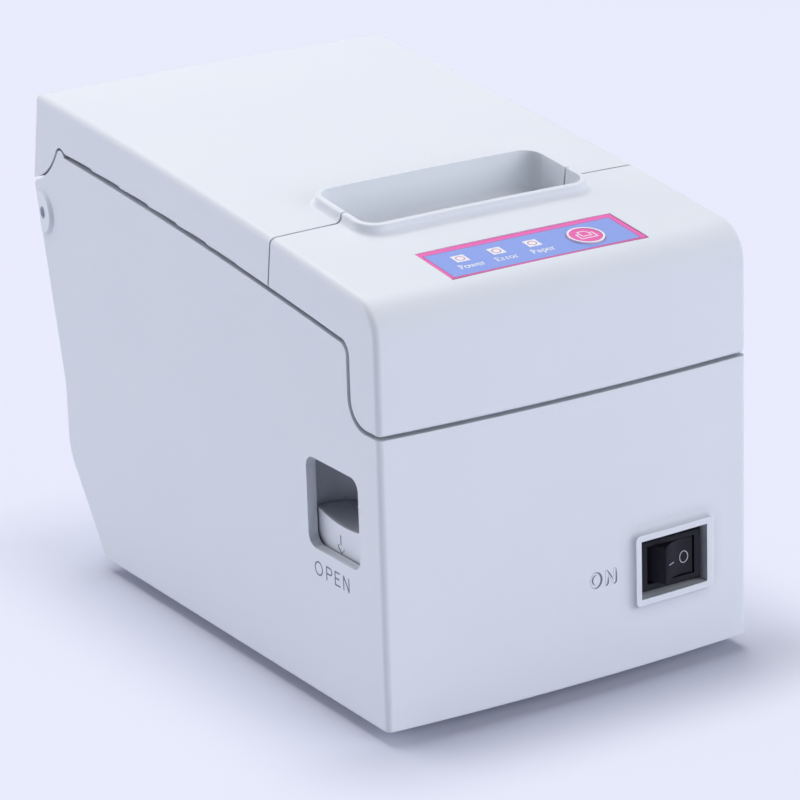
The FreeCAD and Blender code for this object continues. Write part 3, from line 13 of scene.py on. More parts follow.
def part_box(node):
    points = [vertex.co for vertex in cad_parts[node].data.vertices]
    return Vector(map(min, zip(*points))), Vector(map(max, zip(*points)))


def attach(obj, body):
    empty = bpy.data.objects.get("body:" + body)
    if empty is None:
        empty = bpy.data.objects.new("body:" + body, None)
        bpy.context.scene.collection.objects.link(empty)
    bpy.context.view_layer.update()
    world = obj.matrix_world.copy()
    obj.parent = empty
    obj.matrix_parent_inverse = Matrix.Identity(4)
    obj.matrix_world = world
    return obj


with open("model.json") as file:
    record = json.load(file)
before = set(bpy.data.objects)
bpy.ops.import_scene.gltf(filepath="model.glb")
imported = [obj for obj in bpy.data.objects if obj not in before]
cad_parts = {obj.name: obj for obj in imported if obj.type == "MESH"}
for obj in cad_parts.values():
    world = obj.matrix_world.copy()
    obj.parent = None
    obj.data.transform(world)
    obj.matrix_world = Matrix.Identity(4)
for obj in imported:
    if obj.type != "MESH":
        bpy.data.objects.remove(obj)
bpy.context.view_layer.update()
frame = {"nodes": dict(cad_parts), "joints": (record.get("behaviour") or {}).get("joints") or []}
solids = frame["nodes"]

# Main case, base plate, front cover and paper lid: injection-moulded ABS in a cool white. The moulds
# are spark-eroded, so the surface has a fine even grain that breaks up the gloss; the resin itself is
# almost uniform. The base plate is screwed on, the cover stays in place and the lid is hinged.
MM = 0.001


def linear(code):
    """Linear RGBA of an sRGB hex code: c / 12.92 up to 0.04045, else ((c + 0.055) / 1.055) ** 2.4."""
    parts = np.array([int(code[i:i + 2], 16) for i in (0, 2, 4)]) / 255
    parts = np.where(parts <= 0.04045, parts / 12.92, ((parts + 0.055) / 1.055) ** 2.4)
    return (*parts.tolist(), 1.0)


def put(tree, kind, values=(), links=(), **settings):
    """Adds one node: settings are its properties, values fill inputs, links join inputs to outputs."""
    added = tree.nodes.new(kind)
    for key, value in settings.items():
        setattr(added, key, value)
    for key, value in dict(values).items():
        added.inputs[key].default_value = value
    for key, source in dict(links).items():
        tree.links.new(source, added.inputs[key])
    return added


def start_finish(name):
    """New material with its tree, its shader and the coordinates of the piece, in metres."""
    finish = bpy.data.materials.new(name)
    finish.use_nodes = True
    tree = finish.node_tree
    return finish, tree, tree.nodes["Principled BSDF"], put(tree, "ShaderNodeTexCoord").outputs["Object"]


def moulded(name, light, dark, rough, grain_mm, relief_mm, cloud_mm=30.0, ior=1.53, corner=None):
    """Moulded plastic. A slow cloud blends two close colours, as resin varies; a fine noise of the
    grain's size gives the bump of the mould's texture and a small change of roughness. A corner
    (colour, reach in mm, shares) paints shade into recesses: the shares say how much of that
    colour lies where so much open air is left within the reach."""
    finish, tree, shader, place = start_finish(name)
    cloud = put(tree, "ShaderNodeTexNoise", {"Scale": 1 / (cloud_mm * MM), "Detail": 3.0}, {"Vector": place})
    grain = put(tree, "ShaderNodeTexNoise", {"Scale": 1 / (grain_mm * MM), "Detail": 2.0}, {"Vector": place})
    tint = put(tree, "ShaderNodeMix", {6: linear(light), 7: linear(dark)},
               {0: cloud.outputs["Fac"]}, data_type="RGBA")
    if corner:
        # Painted shade: the occlusion node greys the colour in corners and recesses, within the reach.
        painted_shade_colour, reach_mm, shares = corner
        open_air = put(tree, "ShaderNodeAmbientOcclusion", {"Distance": reach_mm * MM}, samples=8)
        painted_shade_ramp = put(tree, "ShaderNodeValToRGB", {}, {"Fac": open_air.outputs["AO"]})
        for stop, (openness, share) in enumerate(shares):
            step = painted_shade_ramp.color_ramp.elements[0] if stop == 0 else painted_shade_ramp.color_ramp.elements.new(openness)
            step.position, step.color = openness, (share, share, share, 1.0)
        painted_shade_ramp.color_ramp.elements.remove(painted_shade_ramp.color_ramp.elements[-1])
        tint = put(tree, "ShaderNodeMix", {7: linear(painted_shade_colour)},
                   {0: painted_shade_ramp.outputs["Color"], 6: tint.outputs[2]}, data_type="RGBA")
    gloss = put(tree, "ShaderNodeMapRange", {"To Min": rough - 0.06, "To Max": rough + 0.06},
                {"Value": grain.outputs["Fac"]})
    relief = put(tree, "ShaderNodeBump", {"Strength": 1.0, "Distance": relief_mm * MM},
                 {"Height": grain.outputs["Fac"]})
    tree.links.new(tint.outputs[2], shader.inputs["Base Color"])
    tree.links.new(gloss.outputs["Result"], shader.inputs["Roughness"])
    tree.links.new(relief.outputs["Normal"], shader.inputs["Normal"])
    shader.inputs["IOR"].default_value = ior
    return finish


def dress(finish, *names):
    """Gives a finish to solids."""
    for name in names:
        solids[name].data.materials.clear()
        solids[name].data.materials.append(finish)


# The real grain is about 0.15 mm and would not show at this size, so it is drawn at 0.7 mm. It gives
# the eye a soft satin white; inside corners and recesses of case, cover and lid are painted a little grey as
# shade.
case_abs = moulded("abs_cool_white_spark_grain", "E7EBF0", "E3E8EE", 0.46, 0.7, 0.012,
                   corner=("535C6E", 5.0, ((0.0, 0.25), (0.45, 0.15), (0.58, 0.1), (0.7, 0.5), (0.985, 0.0))))
cover_abs = moulded("abs_cool_white_open_faces", "E7EBF0", "E3E8EE", 0.46, 0.7, 0.012,
                    corner=("535C6E", 4.0, ((0.0, 0.6), (0.25, 0.45), (0.55, 0.0))))
dress(case_abs, "main_case", "bottom_plate")
dress(cover_abs, "front_cover", "paper_lid")


# Lettering sunk into the case: the word under the lever window and the word beside the switch.
# The cutter of the mould leaves narrow grooves; they are drawn as grey strokes, ink and painted shade in one,
# so they read as dark lines.
def corners_mm(node):
    """Lowest and highest corner of a solid in millimetres, to the nearest micrometre."""
    return [np.round(np.array(corner) / MM, 3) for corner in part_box(node)]


cover_low, cover_high = corners_mm("front_cover")
HALF_WIDTH = cover_high[0]
FRONT_BOW = 2.3
FRONT_Y = cover_low[1] + FRONT_BOW
INK_SINK = 0.02


def add_piece(name, points, faces, finish, body):
    """Mesh object from an (n, 3) array of points in metres and a list of faces, riding on a body."""
    mesh = bpy.data.meshes.new(name)
    mesh.from_pydata(np.asarray(points).tolist(), [], faces)
    mesh.materials.append(finish)
    piece = bpy.data.objects.new(name, mesh)
    bpy.context.scene.collection.objects.link(piece)
    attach(piece, body)
    return piece


def arc(middle, reach, start, end, steps=25):
    """Points of an oval arc: middle + reach * (cos t, sin t), with t from start to end in degrees."""
    turn = np.radians(np.linspace(start, end, steps))
    return np.asarray(middle) + np.stack([np.cos(turn), np.sin(turn)], 1) * reach


def swell(most, steps=25, least=0.06):
    """Widths of a stroke that grows from a point to its middle and back: a sine over its length."""
    return np.maximum(most * np.sin(np.linspace(0, np.pi, steps)), least)


def strokes(name, lines, rise, place, finish, body):
    """Pen strokes as thin bars. Each line is (path, width): the path's normal times half the width
    gives its two edges, and four corners at every point, two low and two raised, close the bar."""
    points, faces, first = [], [], 0
    for path, width in lines:
        path = np.asarray(path, float)
        ahead = np.gradient(path, axis=0)
        aside = np.stack([-ahead[:, 1], ahead[:, 0]], 1) / np.linalg.norm(ahead, axis=1)[:, None]
        aside *= np.broadcast_to(np.asarray(width) / 2, len(path))[:, None]
        low, high = np.zeros(len(path)), np.full(len(path), rise)
        corners = [np.c_[path + aside, low], np.c_[path + aside, high],
                   np.c_[path - aside, high], np.c_[path - aside, low]]
        points.append(np.stack(corners, 1).reshape(-1, 3))
        start, turn = first + 4 * np.arange(len(path) - 1)[:, None], np.arange(4)
        bands = np.stack([start + turn, start + (turn + 1) % 4,
                          start + (turn + 1) % 4 + 4, start + turn + 4], 2)
        last = first + 4 * (len(path) - 1)
        faces += bands.reshape(-1, 4).tolist()
        faces += [[first + 3, first + 2, first + 1, first], [last, last + 1, last + 2, last + 3]]
        first += 4 * len(path)
    return add_piece(name, place(np.concatenate(points)) * MM, faces, finish, body)


def on_left_wall(flat):
    """Flat (along, up, out) to the left wall: along runs to the front, out is -X, z is up."""
    return np.stack([INK_SINK - HALF_WIDTH - flat[:, 2], FRONT_Y - flat[:, 0], flat[:, 1]], 1)


def on_bowed_front(flat):
    """Flat (along, up, out) to the front: y follows the bow, an arc of radius R through the corners."""
    radius = (HALF_WIDTH ** 2 + FRONT_BOW ** 2) / (2 * FRONT_BOW)
    bow = radius - FRONT_BOW - np.sqrt(radius ** 2 - flat[:, 0] ** 2)
    return np.stack([flat[:, 0], FRONT_Y + bow + INK_SINK - flat[:, 2], flat[:, 1]], 1)


# Grey for the grooves, ink and painted shade in one: dull and a little uneven, so it shows no gloss.
ink_and_groove_shade = moulded("grey_ink_and_painted_groove_shade", "737988", "686E7D", 0.7, 0.3, 0.004, 1.5, 1.5)
LINE = 0.42
strokes("word_open", [
    (arc((-32.5, 39.75), (1.82, 1.82), 90, 450, 41), LINE),
    ([(-28.5, 37.75), (-28.5, 41.75)], LINE), ([(-28.5, 41.55), (-26.9, 41.55)], LINE),
    (arc((-26.9, 40.6), (1.1, 0.95), 90, -90, 17), LINE), ([(-26.9, 39.65), (-28.5, 39.65)], LINE),
    ([(-24.2, 37.75), (-24.2, 41.75)], LINE), ([(-24.2, 41.55), (-21.8, 41.55)], LINE),
    ([(-24.2, 39.8), (-22.1, 39.8)], LINE), ([(-24.2, 37.95), (-21.7, 37.95)], LINE),
    ([(-19.9, 37.75), (-19.9, 41.75)], LINE), ([(-19.9, 41.7), (-17.25, 37.8)], LINE + 0.08),
    ([(-17.25, 37.75), (-17.25, 41.75)], LINE),
], 0.04, on_left_wall, ink_and_groove_shade, "base")
# The other word is broad and shallow: the groove walls away from the light are painted dark as shade, the
# others painted in a paler grey as lit walls.
strokes("word_on", [
    (arc((6.5, 32.2), (1.9, 2.2), 105, -120), swell(0.62)),
    (arc((6.5, 32.3), (1.0, 1.35), 70, 265), swell(0.42)),
    ([(10.2, 34.35), (10.9, 33.4), (11.6, 32.3), (12.3, 31.2)], [0.12, 0.36, 0.36, 0.1]),
    ([(10.6, 32.4), (10.6, 31.4), (10.55, 30.6), (10.2, 30.1), (9.75, 30.0)], [0.1, 0.4, 0.5, 0.45, 0.1]),
    ([(13.15, 34.3), (13.25, 33.0), (13.25, 31.5), (13.2, 30.5), (12.9, 30.1), (12.4, 30.0)],
     [0.12, 0.36, 0.46, 0.5, 0.42, 0.1]),
], 0.04, on_bowed_front, ink_and_groove_shade, "base")
lit_groove_grey = moulded("painted_lit_groove_wall", "C3C8D4", "BDC2CF", 0.6, 0.3, 0.004, 1.5, 1.5)
strokes("word_on_pale", [
    (arc((6.6, 32.2), (1.85, 2.2), 105, 240), 0.1),
    ([(9.7, 30.1), (9.7, 34.4)], 0.16), ([(9.7, 34.4), (10.3, 34.4)], 0.16),
    ([(10.6, 33.0), (11.4, 31.6), (12.3, 30.1)], 0.14), ([(12.35, 34.3), (12.35, 32.0)], 0.14),
    ([(12.35, 34.4), (13.2, 34.4)], 0.14),
], 0.03, on_bowed_front, lit_groove_grey, "base")

# Feet and screws under the base plate: four moulded rubber feet glued on, and four pan-head steel
# screws. The rubber is dull and dark, and the heads are bright with fine marks of the lathe.
foot_rubber = moulded("moulded_black_rubber", "17171A", "1D1D20", 0.72, 0.5, 0.03, 8.0, 1.52)
dress(foot_rubber, "rubber_feet")


def drawn_metal(name, light, dark, rough, streak_mm, stretch, relief_mm=0.002):
    """Rolled or ground metal: noise stretched along one axis makes the streaks of colour, gloss and
    bump that the rolls or the grinding wheel leave."""
    finish, tree, shader, place = start_finish(name)
    along = put(tree, "ShaderNodeMapping", {"Scale": stretch}, {"Vector": place})
    streak = put(tree, "ShaderNodeTexNoise", {"Scale": 1 / (streak_mm * MM), "Detail": 4.0},
                 {"Vector": along.outputs["Vector"]})
    tint = put(tree, "ShaderNodeMix", {6: linear(light), 7: linear(dark)},
               {0: streak.outputs["Fac"]}, data_type="RGBA")
    gloss = put(tree, "ShaderNodeMapRange", {"To Min": rough - 0.08, "To Max": rough + 0.1},
                {"Value": streak.outputs["Fac"]})
    relief = put(tree, "ShaderNodeBump", {"Strength": 0.6, "Distance": relief_mm * MM},
                 {"Height": streak.outputs["Fac"]})
    tree.links.new(tint.outputs[2], shader.inputs["Base Color"])
    tree.links.new(gloss.outputs["Result"], shader.inputs["Roughness"])
    tree.links.new(relief.outputs["Normal"], shader.inputs["Normal"])
    shader.inputs["Metallic"].default_value = 1.0
    return finish


bright_steel = drawn_metal("ground_steel", "C9CBD0", "A9ACB2", 0.3, 0.6, (0.15, 1.0, 1.0))
zinc_steel = drawn_metal("zinc_plated_sheet_steel", "BFC3C8", "9DA2A8", 0.38, 2.5, (1.0, 0.4, 1.0))
dress(bright_steel, "bottom_screws", "lever_shaft", "platen_shaft", "gear_axle", "shaft_clip",
      "motor_pinion", "tear_bar", "head_spring")
dress(zinc_steel, "print_frame", "latch_hooks", "step_motor")


HEAD_PLANE = corners_mm("bottom_screws")[0][2]
SCREW_X, SCREW_Y = (-46.0, 46.0), (-77.65, 48.15)
CROSS_ARM = 1.7


def on_screws(flat):
    """Flat (left, back, out) to the plane of the screw heads, which look down from the base plate."""
    return np.stack([-flat[:, 0], flat[:, 1], HEAD_PLANE - flat[:, 2]], 1)


def cross_bar(x, y, across, along):
    """One bar of a driver's cross: from the middle out to both ends, and narrower there."""
    reach = np.array([across, along]) * CROSS_ARM
    return [(x, y) - reach, (x, y), (x, y) + reach], [0.35, 0.95, 0.35]


# The driver's cross in each head is a hollow, drawn as dark strokes: painted shade.
cross_hollow_shade = moulded("painted_shade_of_cross_hollow", "3C3F46", "31343A", 0.4, 0.5, 0.004, 3.0)
strokes("screw_crosses", [cross_bar(x, y, across, along) for x in SCREW_X for y in SCREW_Y
                          for across, along in ((1, 0), (0, 1))],
        0.03, on_screws, cross_hollow_shade, "base")

# Boards and sockets: glass-fibre laminate under green solder mask, which is glossy and a little
# mottled; black epoxy parts, which are satin; and a bright plated shell round the data socket.
solder_mask = moulded("green_solder_mask", "1F5C38", "184A2C", 0.32, 1.2, 0.01, 6.0, 1.5)
black_part = moulded("black_moulded_epoxy", "151517", "1E1E21", 0.5, 0.4, 0.01, 5.0)
dress(solder_mask, "main_board", "panel_board")
dress(black_part, "board_parts", "tact_switch", "paper_sensor", "power_inlet", "drawer_port")
dress(zinc_steel, "usb_port")

# Paper bin, platen bracket and bushes: black glass-filled nylon, moulded. The fibres near the
# surface break the gloss, so it is satin and slightly cloudy. The bin rests on ledges of the case.
bin_nylon = moulded("black_filled_nylon", "1A1B1E", "25262A", 0.5, 0.9, 0.015, 14.0)
dress(bin_nylon, "paper_bin", "platen_bracket", "platen_bushes")

# Thermal head: a drawn and anodised aluminium plate, matt silver, with a ceramic strip glued on.
# The strip's dark glaze is very smooth, so the print line shines.
anodised = drawn_metal("anodised_aluminium", "C4C7CB", "AEB1B6", 0.35, 0.8, (1.0, 0.1, 1.0))
glaze = moulded("dark_glazed_ceramic", "2A1A12", "3A261B", 0.12, 2.0, 0.003, 5.0)
dress(anodised, "head_plate")
dress(glaze, "head_strip")

# Gears of the platen and the reduction: natural acetal, moulded. It is milky and slightly waxy to
# the eye, and warmer than the case.
acetal = moulded("natural_acetal", "E9E4D2", "DFD9C5", 0.4, 0.8, 0.008, 6.0, 1.48)
dress(acetal, "platen_gear", "reduction_gear")

# Platen sleeve: black rubber vulcanised on its steel shaft and ground round, so that it is dull,
# with a very fine even tooth.
platen_rubber = moulded("ground_black_rubber", "161618", "202022", 0.66, 0.3, 0.01, 6.0, 1.52)
dress(platen_rubber, "platen_rubber")

# Release lever: moulded in the same white ABS as the case, on a steel cross shaft, with a finger cup
# and a sunk arrow on its face. Its white is written a shade lighter than the case's, as painted light on the
# sunk face; its recesses get painted shade, and behind the face the cup is painted grey as shade.
LEVER_FACE = corners_mm("release_lever")[0][0]
CUP_SHADE_START, CUP_SHADE_FULL, CUP_SHADE_SHARE = 0.02, 1.2, 0.42
lever_abs = moulded("abs_lever_white", "E9ECF2", "E5E9F0", 0.42, 0.7, 0.012,
                    corner=("2A323D", 4.0, ((0.0, 0.8), (0.35, 0.5), (0.62, 0.0))))
tree = lever_abs.node_tree
shader = tree.nodes["Principled BSDF"]
spot = put(tree, "ShaderNodeSeparateXYZ", {}, {0: put(tree, "ShaderNodeTexCoord").outputs["Object"]})
# Painted shade: the colour greys from the face inward into the cup, where little light reaches.
inward = put(tree, "ShaderNodeMapRange",
             {"From Min": (LEVER_FACE + CUP_SHADE_START) * MM, "From Max": (LEVER_FACE + CUP_SHADE_FULL) * MM,
              "To Max": CUP_SHADE_SHARE},
             {"Value": spot.outputs["X"]}, interpolation_type="SMOOTHSTEP")
unshaded = shader.inputs["Base Color"].links[0].from_socket
cup_shade = put(tree, "ShaderNodeMix", {7: linear("364257")}, {0: inward.outputs["Result"], 6: unshaded},
            data_type="RGBA")
tree.links.new(cup_shade.outputs[2], shader.inputs["Base Color"])
dress(lever_abs, "release_lever")


def on_lever(flat):
    """Flat (along, up, out) to the lever's face, a plane across X."""
    return np.stack([LEVER_FACE + INK_SINK - flat[:, 2], FRONT_Y - flat[:, 0], flat[:, 1]], 1)


# The arrow is drawn as grey strokes where its edges show dark: painted shade of those edges.
strokes("lever_arrow", [
    ([(-26.3, 50.3), (-26.3, 49.0), (-26.3, 47.5)], [0.5, 0.45, 0.4]),
    ([(-27.2, 47.55), (-27.75, 46.85), (-27.0, 46.1), (-26.0, 45.3)], [0.25, 0.45, 0.45, 0.3]),
    ([(-26.0, 45.3), (-25.1, 46.1), (-24.4, 46.8)], [0.25, 0.16, 0.1]),
], 0.04, on_lever, ink_and_groove_shade, "lever")

# Power switch: housing and rocker moulded in black nylon, snapped into the hole of the front. The
# plastic is dark satin with a weak gloss, and the two marks are printed thinly in white.
switch_nylon = moulded("black_satin_nylon", "22222B", "1C1C25", 0.42, 0.6, 0.01, 8.0)
switch_nylon.node_tree.nodes["Principled BSDF"].inputs["Specular IOR Level"].default_value = 0.15
dress(switch_nylon, "switch_housing", "power_rocker")
white_ink = moulded("white_printing_ink", "F2F3F7", "ECEEF4", 0.5, 0.5, 0.004, 4.0, 1.5)
grey_ink = moulded("thin_white_printing_ink", "C9CAD4", "BDBEC9", 0.5, 0.3, 0.004, 1.0, 1.5)


joints = {joint["name"]: joint for joint in frame["joints"]}
ROCKER_PIVOT = np.array(joints["rocker_flip"]["pos_m"]) / MM
ROCKER_TURN = math.radians(joints["rocker_flip"]["range_deg"][1] / 2)
ROCKER_TIP, ROCKER_TOP, ROCKER_DIP = 5.86, 5.34, 3.64


def on_rocker(flat):
    """Flat (along, up, out) to the rocker's hollow face: an arc through its tips and its dip, tipped
    about the pivot by half of its travel."""
    hollow = ROCKER_TOP - ROCKER_DIP
    radius = (ROCKER_TIP ** 2 + hollow ** 2) / (2 * hollow)
    level = ROCKER_DIP + radius - np.sqrt(radius ** 2 - flat[:, 0] ** 2) + flat[:, 2]
    x = flat[:, 0] * math.cos(ROCKER_TURN) + level * math.sin(ROCKER_TURN)
    y = flat[:, 0] * math.sin(ROCKER_TURN) - level * math.cos(ROCKER_TURN)
    return np.stack([ROCKER_PIVOT[0] + x, ROCKER_PIVOT[1] + y, ROCKER_PIVOT[2] + flat[:, 1]], 1)


def flat_solid(name, outline, rise, place, finish, body):
    """Plate of a closed outline: the outline at the wall and again raised, with sides between."""
    count = len(outline)
    flat = np.concatenate([np.c_[outline, np.zeros(count)], np.c_[outline, np.full(count, rise)]])
    ring = np.arange(count)
    sides = np.stack([ring, np.roll(ring, -1), np.roll(ring, -1) + count, ring + count], 1)
    faces = [ring[::-1].tolist(), (ring + count).tolist()] + sides.tolist()
    return add_piece(name, place(flat) * MM, faces, finish, body)


def oval_pair(middle, size, stroke, steps=40):
    """Outer and inner loop of an oval ring: middle + half the size * (cos t, sin t), less the stroke."""
    return [arc(middle, np.array(size) / 2 - less, 0, 360, steps + 1)[:-1] for less in (0, stroke)]


def flat_ring(name, loops, low, high, place, finish, body):
    """Raised ring between two loops of as many points: bottom and top of each joined by four bands."""
    outer, inner = loops
    count = len(outer)
    levels = [np.c_[loop, np.full(count, level)]
              for loop, level in ((outer, low), (outer, high), (inner, high), (inner, low))]
    ring = np.arange(count)
    bands = [np.stack([ring + a * count, np.roll(ring, -1) + a * count,
                       np.roll(ring, -1) + b * count, ring + b * count], 1)
             for a, b in ((0, 1), (1, 2), (2, 3), (3, 0))]
    return add_piece(name, place(np.concatenate(levels)) * MM, np.concatenate(bands).tolist(),
                     finish, body)


flat_ring("rocker_off_mark", oval_pair((3.45, -0.3), (2.7, 3.5), 0.21), -0.02, 0.04, on_rocker, grey_ink,
          "rocker")
dash = np.array([(-1.25, -0.12), (1.25, -0.12), (1.25, 0.12), (-1.25, 0.12)])
flat_solid("rocker_on_mark", dash + (-1.45, -0.9), 0.04, on_rocker, grey_ink, "rocker")

# Control panel: polycarbonate film printed on its back with a pink border and a blue field, glued
# into the sunk panel of the cover. The clear layer over the ink gives a faint even sheen. Under it
# are three lamps of clear epoxy, and the round feed key comes through a hole.
PANEL_LEAN = math.asin(joints["feed_press"]["axis"][1])
PANEL_Y, PANEL_Z = -77.75, 122.31503
FILM_LEVEL = -0.25
KEY_LEVEL = 0.15
KEY_PLACE = (16.1, -1.0)


def on_panel(flat):
    """Flat (right, up the slope, out) to the sloping panel: turned about X by its lean."""
    c, s = math.cos(PANEL_LEAN), math.sin(PANEL_LEAN)
    return np.stack([flat[:, 0], PANEL_Y + flat[:, 1] * c - flat[:, 2] * s,
                     PANEL_Z + flat[:, 1] * s + flat[:, 2] * c], 1)


def on_film(flat):
    """Flat to the top of the film, which lies a quarter of a millimetre below the cover."""
    return on_panel(flat + (0, 0, FILM_LEVEL))


def on_key(flat):
    """Flat to the top of the feed key, a little proud of the cover."""
    return on_panel(flat + (*KEY_PLACE, KEY_LEVEL))


def printed_film(name, light, dark, rough=0.3):
    """Printed film: ink under a clear satin layer, with a faint mottle of the screen print."""
    finish = moulded(name, light, dark, rough, 0.35, 0.002, 2.0, 1.58)
    layer = finish.node_tree.nodes["Principled BSDF"].inputs
    layer["Coat Weight"].default_value = 0.3
    layer["Coat Roughness"].default_value = 0.25
    return finish


pink_film = printed_film("pink_printed_film", "F43FB0", "EE3AA9")
blue_film = printed_film("blue_printed_film", "7D9BEA", "7795E6")
key_film = printed_film("pink_key_film", "F232A6", "EC2C9F")
dress(pink_film, "control_overlay")
dress(key_film, "feed_button")
lamp_clear = moulded("clear_lamp_epoxy", "D9E2D6", "CFDACD", 0.2, 0.6, 0.002, 3.0)
dress(lamp_clear, "status_leds")


def rectangle(left, low, width, height):
    """Corners of a rectangle, from the lower left one round against the clock."""
    right, top = left + width, low + height
    return np.array([(left, low), (right, low), (right, top), (left, top)])


def pierced(corners, middle, hole):
    """Loops of a rectangle round a hole. Rays leave the middle at even turns and at the corners; each
    meets the rectangle where 1 / reach is the largest of cos t and sin t over the sides' distances."""
    to_corner = corners - middle
    corner_turns = np.arctan2(to_corner[:, 1], to_corner[:, 0])
    turn = np.sort(np.r_[np.linspace(-np.pi, np.pi, 72, endpoint=False), corner_turns])
    ray = np.stack([np.cos(turn), np.sin(turn)], 1)
    reach = 1 / np.maximum(ray / to_corner.max(0), ray / to_corner.min(0)).max(1)
    return middle + ray * reach[:, None], middle + ray * hole / 2


FIELD_LEFT, FIELD_LOW, FIELD_WIDTH, FIELD_HEIGHT = -29.5, -8.0, 58.2, 14.8
KEY_HOLE = 10.7
field = rectangle(FIELD_LEFT, FIELD_LOW, FIELD_WIDTH, FIELD_HEIGHT)
flat_ring("film_field", pierced(field, KEY_PLACE, KEY_HOLE), 0.0, 0.02, on_film, blue_film,
          "base")
# The border is printed over the field and its inner edge shows as a fine darker line; the cut edges
# at the front and the right show as one too.
plum_ink = printed_film("plum_printed_line", "A8327E", "9C2E76", 0.35)
LINE_OUT = 0.05
frame_line = rectangle(FIELD_LEFT - LINE_OUT, FIELD_LOW - LINE_OUT,
                       FIELD_WIDTH + 2 * LINE_OUT, FIELD_HEIGHT + 2 * LINE_OUT)
strokes("film_line", [([frame_line[i], frame_line[(i + 1) % 4]], 0.2) for i in range(4)]
        + [([(-30.4, -8.8), (30.45, -8.8)], 0.36), ([(30.4, -8.9), (30.4, 8.6)], 0.2)],
        0.03, on_film, plum_ink, "base")

# Legends: a plain serif hand drawn as strokes in units of the small letters' height. Stems are
# heavy, hairlines light, and short bars make the serifs.
STEM, HAIR = 0.23, 0.12
BOWL = HAIR + (STEM - HAIR) * np.abs(np.cos(np.radians(np.linspace(0, 360, 25))))
GLYPHS = {
    "P": (1.02, [([(0.3, 0), (0.3, 1.45)], STEM), (arc((0.42, 1.06), (0.42, 0.36), 100, -100), STEM * 0.85),
                 ([(0.06, 0.06), (0.56, 0.06)], HAIR), ([(0.06, 1.39), (0.5, 1.39)], HAIR)]),
    "E": (1.1, [([(0.3, 0), (0.3, 1.45)], STEM), ([(0.06, 1.39), (0.95, 1.39)], HAIR),
                ([(0.3, 0.74), (0.75, 0.74)], HAIR), ([(0.06, 0.06), (1.0, 0.06)], HAIR),
                ([(0.93, 1.45), (0.93, 1.08)], HAIR), ([(0.98, 0), (0.98, 0.42)], HAIR),
                ([(0.75, 0.9), (0.75, 0.58)], HAIR)]),
    "o": (0.95, [(arc((0.46, 0.5), (0.36, 0.46), 0, 360), BOWL)]),
    "e": (0.86, [(arc((0.45, 0.5), (0.35, 0.46), 5, 325), BOWL), ([(0.15, 0.55), (0.78, 0.55)], HAIR)]),
    "w": (1.28, [([(0.12, 1), (0.4, 0)], STEM), ([(0.4, 0), (0.64, 0.95)], HAIR),
                 ([(0.6, 1), (0.88, 0)], STEM), ([(0.88, 0), (1.14, 0.97)], HAIR),
                 ([(0.0, 0.95), (0.3, 0.95)], HAIR), ([(1.0, 0.95), (1.26, 0.95)], HAIR)]),
    "r": (0.74, [([(0.27, 0), (0.27, 1)], STEM), (arc((0.52, 0.66), (0.22, 0.28), 170, 50, 13), STEM * 0.8),
                 ([(0.06, 0.06), (0.52, 0.06)], HAIR), ([(0.06, 0.95), (0.3, 0.95)], HAIR)]),
    "a": (0.86, [(arc((0.4, 0.7), (0.24, 0.25), 170, 0, 13), STEM * 0.8),
                 ([(0.62, 0.72), (0.62, 0.05)], STEM),
                 (arc((0.38, 0.29), (0.26, 0.24), 60, 330, 21), STEM * 0.75),
                 ([(0.6, 0.06), (0.84, 0.06)], HAIR)]),
    "p": (0.98, [([(0.26, -0.45), (0.26, 1)], STEM), (arc((0.52, 0.5), (0.32, 0.45), 150, -150), STEM * 0.85),
                 ([(0.06, -0.4), (0.5, -0.4)], HAIR), ([(0.04, 0.95), (0.28, 0.95)], HAIR)]),
}


def legend_lines(word, left, low, unit):
    """Strokes of a word: each letter's lines, shifted by the widths before it and scaled."""
    steps = np.cumsum([0.0] + [GLYPHS[letter][0] for letter in word])
    return [(np.asarray(path) * unit + (left + step * unit, low), np.asarray(width) * unit)
            for letter, step in zip(word, steps) for path, width in GLYPHS[letter][1]]


# Lamp windows: squares of white ink on the film, each with a fine pink ring round the spot that
# lights up, and the legend in white below it.
rose_ink = printed_film("rose_printed_ring", "CE4A8E", "C44284", 0.35)
LAMPS = ((-21.6, "Power"), (-10.4, "Error"), (0.8, "Paper"))
LAMP_UP, WINDOW_SIDE, RING_SIZE = 1.5, 4.0, 2.6
LEGEND_LEFT, LEGEND_LOW, LETTER = 3.6, -4.55, 1.64
for number, (x, legend) in enumerate(LAMPS):
    window = rectangle(x - WINDOW_SIDE / 2, LAMP_UP - WINDOW_SIDE / 2, WINDOW_SIDE, WINDOW_SIDE)
    flat_solid(f"lamp_window_{number}", window, 0.04, on_film, white_ink, "base")
    flat_ring(f"lamp_ring_{number}", oval_pair((x, LAMP_UP), (RING_SIZE, RING_SIZE), 0.26), 0.0, 0.06,
              on_film, rose_ink, "base")
    strokes(f"legend_{number}", legend_lines(legend, x - LEGEND_LEFT, LEGEND_LOW, LETTER), 0.04,
            on_film, white_ink, "base")

